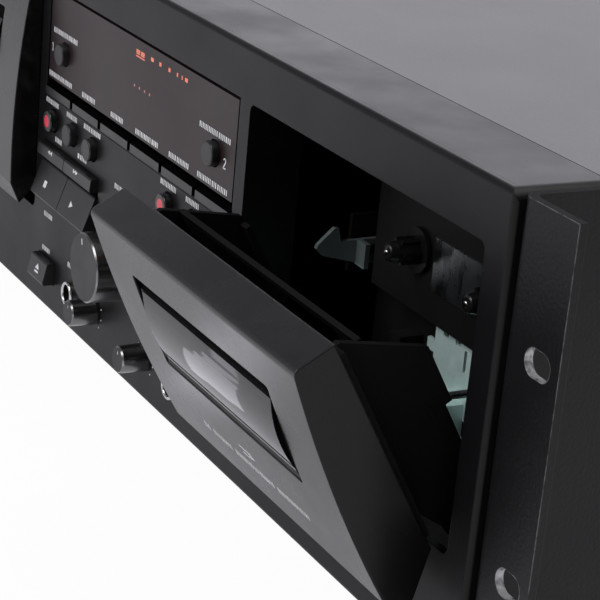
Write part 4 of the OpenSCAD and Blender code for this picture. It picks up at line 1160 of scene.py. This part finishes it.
# White floor, pale horizon and soft lamps
studio = {
    "floorSize": 12.0, "floorBase": colour(0.86, 0.86, 0.86), "floorRough": 0.9, "floorWhite": 0.97,
    "floorGloss": 0.42, "dimFrom": (0.22, 0.34), "dimTo": 0.4, "backdrop": 1.6, "front": 0.36,
    "zenith": 0.14, "backFrom": (0.05, 0.4), "lowFrom": (0.42, 0.56), "rightFrom": (0.2, 0.7),
    "rightTo": 0.3, "tint": colour(0.98, 0.965, 1.04),
    "overhead": {"place": (0.25, 0.35, 1.65), "size": 1.6, "power": 14.0},
    "fill": {"place": (0.1, -1.6, 1.35), "size": 1.0, "power": 16.0}}


def seenDirectly(tree):
    # the share of plain white that camera rays see, and the lower share for glossy and transmission
    # rays, dimmer to the right
    path = addNode(tree, "ShaderNodeLightPath")
    split = placeAxes(tree)
    dimmer = ramp(tree, split["X"], *studio["dimFrom"], 1.0, studio["dimTo"])
    bounced = times(
        tree, maths(tree, "MAXIMUM", path.outputs["Is Glossy Ray"], path.outputs["Is Transmission Ray"]),
        dimmer)
    return maths(
        tree, "MAXIMUM", times(tree, path.outputs["Is Camera Ray"], studio["floorWhite"]),
        times(tree, bounced, studio["floorGloss"]))


def layFloor():
    mat, tree, out = bareMaterial("paleFloor")
    matt = addNode(tree, "ShaderNodeBsdfPrincipled")
    matt.inputs["Base Color"].default_value = studio["floorBase"]
    matt.inputs["Roughness"].default_value = studio["floorRough"]
    white = addNode(tree, "ShaderNodeEmission")
    feed(
        tree, white.inputs["Color"],
        blendColour(
            tree, addNode(tree, "ShaderNodeLightPath").outputs["Is Camera Ray"], studio["tint"],
            colour(1, 1, 1)))
    mixer = addNode(tree, "ShaderNodeMixShader")
    feed(tree, mixer.inputs["Fac"], seenDirectly(tree))
    tree.links.new(matt.outputs["BSDF"], mixer.inputs[1])
    tree.links.new(white.outputs["Emission"], mixer.inputs[2])
    tree.links.new(mixer.outputs["Shader"], out.inputs["Surface"])
    half = studio["floorSize"] / 2
    corners = [(-half, -half, 0), (half, -half, 0), (half, half, 0), (-half, half, 0)]
    linkMesh("floor", corners, [(0, 1, 2, 3)], mat)


def lightWorld():
    world = bpy.data.worlds.new("studio")
    scene.world = world
    world.use_nodes = True
    tree = world.node_tree
    tree.nodes.clear()
    out = addNode(tree, "ShaderNodeOutputWorld")
    sky = addNode(tree, "ShaderNodeBackground")
    split = axes(tree, addNode(tree, "ShaderNodeTexCoord").outputs["Generated"])
    # a bright sweep behind, a paler one in front, both darker overhead and to the right
    sweep = ramp(tree, split["Y"], *studio["backFrom"], studio["front"], studio["backdrop"])
    sweep = times(tree, sweep, ramp(tree, split["X"], *studio["rightFrom"], 1.0, studio["rightTo"]))
    low = ramp(tree, split["Z"], *studio["lowFrom"], 1.0, 0.0)
    level = plus(tree, times(tree, sweep, low), times(tree, minus(tree, 1.0, low), studio["zenith"]))
    straight = addNode(tree, "ShaderNodeLightPath").outputs["Is Camera Ray"]
    feed(tree, sky.inputs["Strength"], plus(tree, times(tree, level, minus(tree, 1.0, straight)), straight))
    feed(tree, sky.inputs["Color"], blendColour(tree, straight, studio["tint"], colour(1, 1, 1)))
    tree.links.new(sky.outputs["Background"], out.inputs["Surface"])


def hangLamp(name, spec, target=(0, 0, 0.05)):
    data = bpy.data.lights.new(name, "AREA")
    data.shape, data.size, data.energy = "SQUARE", spec["size"], spec["power"]
    lamp = bpy.data.objects.new(name, data)
    scene.collection.objects.link(lamp)
    lamp.location = spec["place"]
    lamp.rotation_euler = (Vector(target) - Vector(spec["place"])).to_track_quat("-Z", "Y").to_euler()


# White cards lying in front of the deck, which only reflections see
cards = {"lift": 0.001, "strength": 1.5,
         "quads": [[(11.8, -93.5), (30.3, -95), (45.9, -80.7), (27.4, -79.9)],
              [(24, -74.6), (48.6, -77.9), (57.4, -67.9), (33.5, -64.7)],
              [(28.1, -62.8), (58.7, -66.1), (63.7, -59.7), (35.7, -53.1)],
              [(26.8, -56.1), (63.7, -59.7), (80, -30.7), (40.4, -23.8)]]}


def layCards(spec):
    mat, tree, out = bareMaterial("whiteCard")
    white = addNode(tree, "ShaderNodeEmission")
    feed(tree, white.inputs["Color"], studio["tint"])
    feed(tree, white.inputs["Strength"], spec["strength"])
    tree.links.new(white.outputs["Emission"], out.inputs["Surface"])
    corners = np.asarray(spec["quads"], float).reshape(-1, 2) / 1000
    height = np.repeat(spec["lift"] * (1 + np.arange(len(spec["quads"]))), 4)
    verts = np.stack([corners[:, 0], faceY + corners[:, 1], height], 1)
    obj = linkMesh("cards", verts, np.arange(len(corners)).reshape(-1, 4), mat)
    for ray in ("camera", "diffuse", "transmission", "shadow"):
        setattr(obj, "visible_" + ray, False)


layFloor()
layCards(cards)
lightWorld()
hangLamp("overhead", studio["overhead"])
hangLamp("fill", studio["fill"])
print("studio lit")
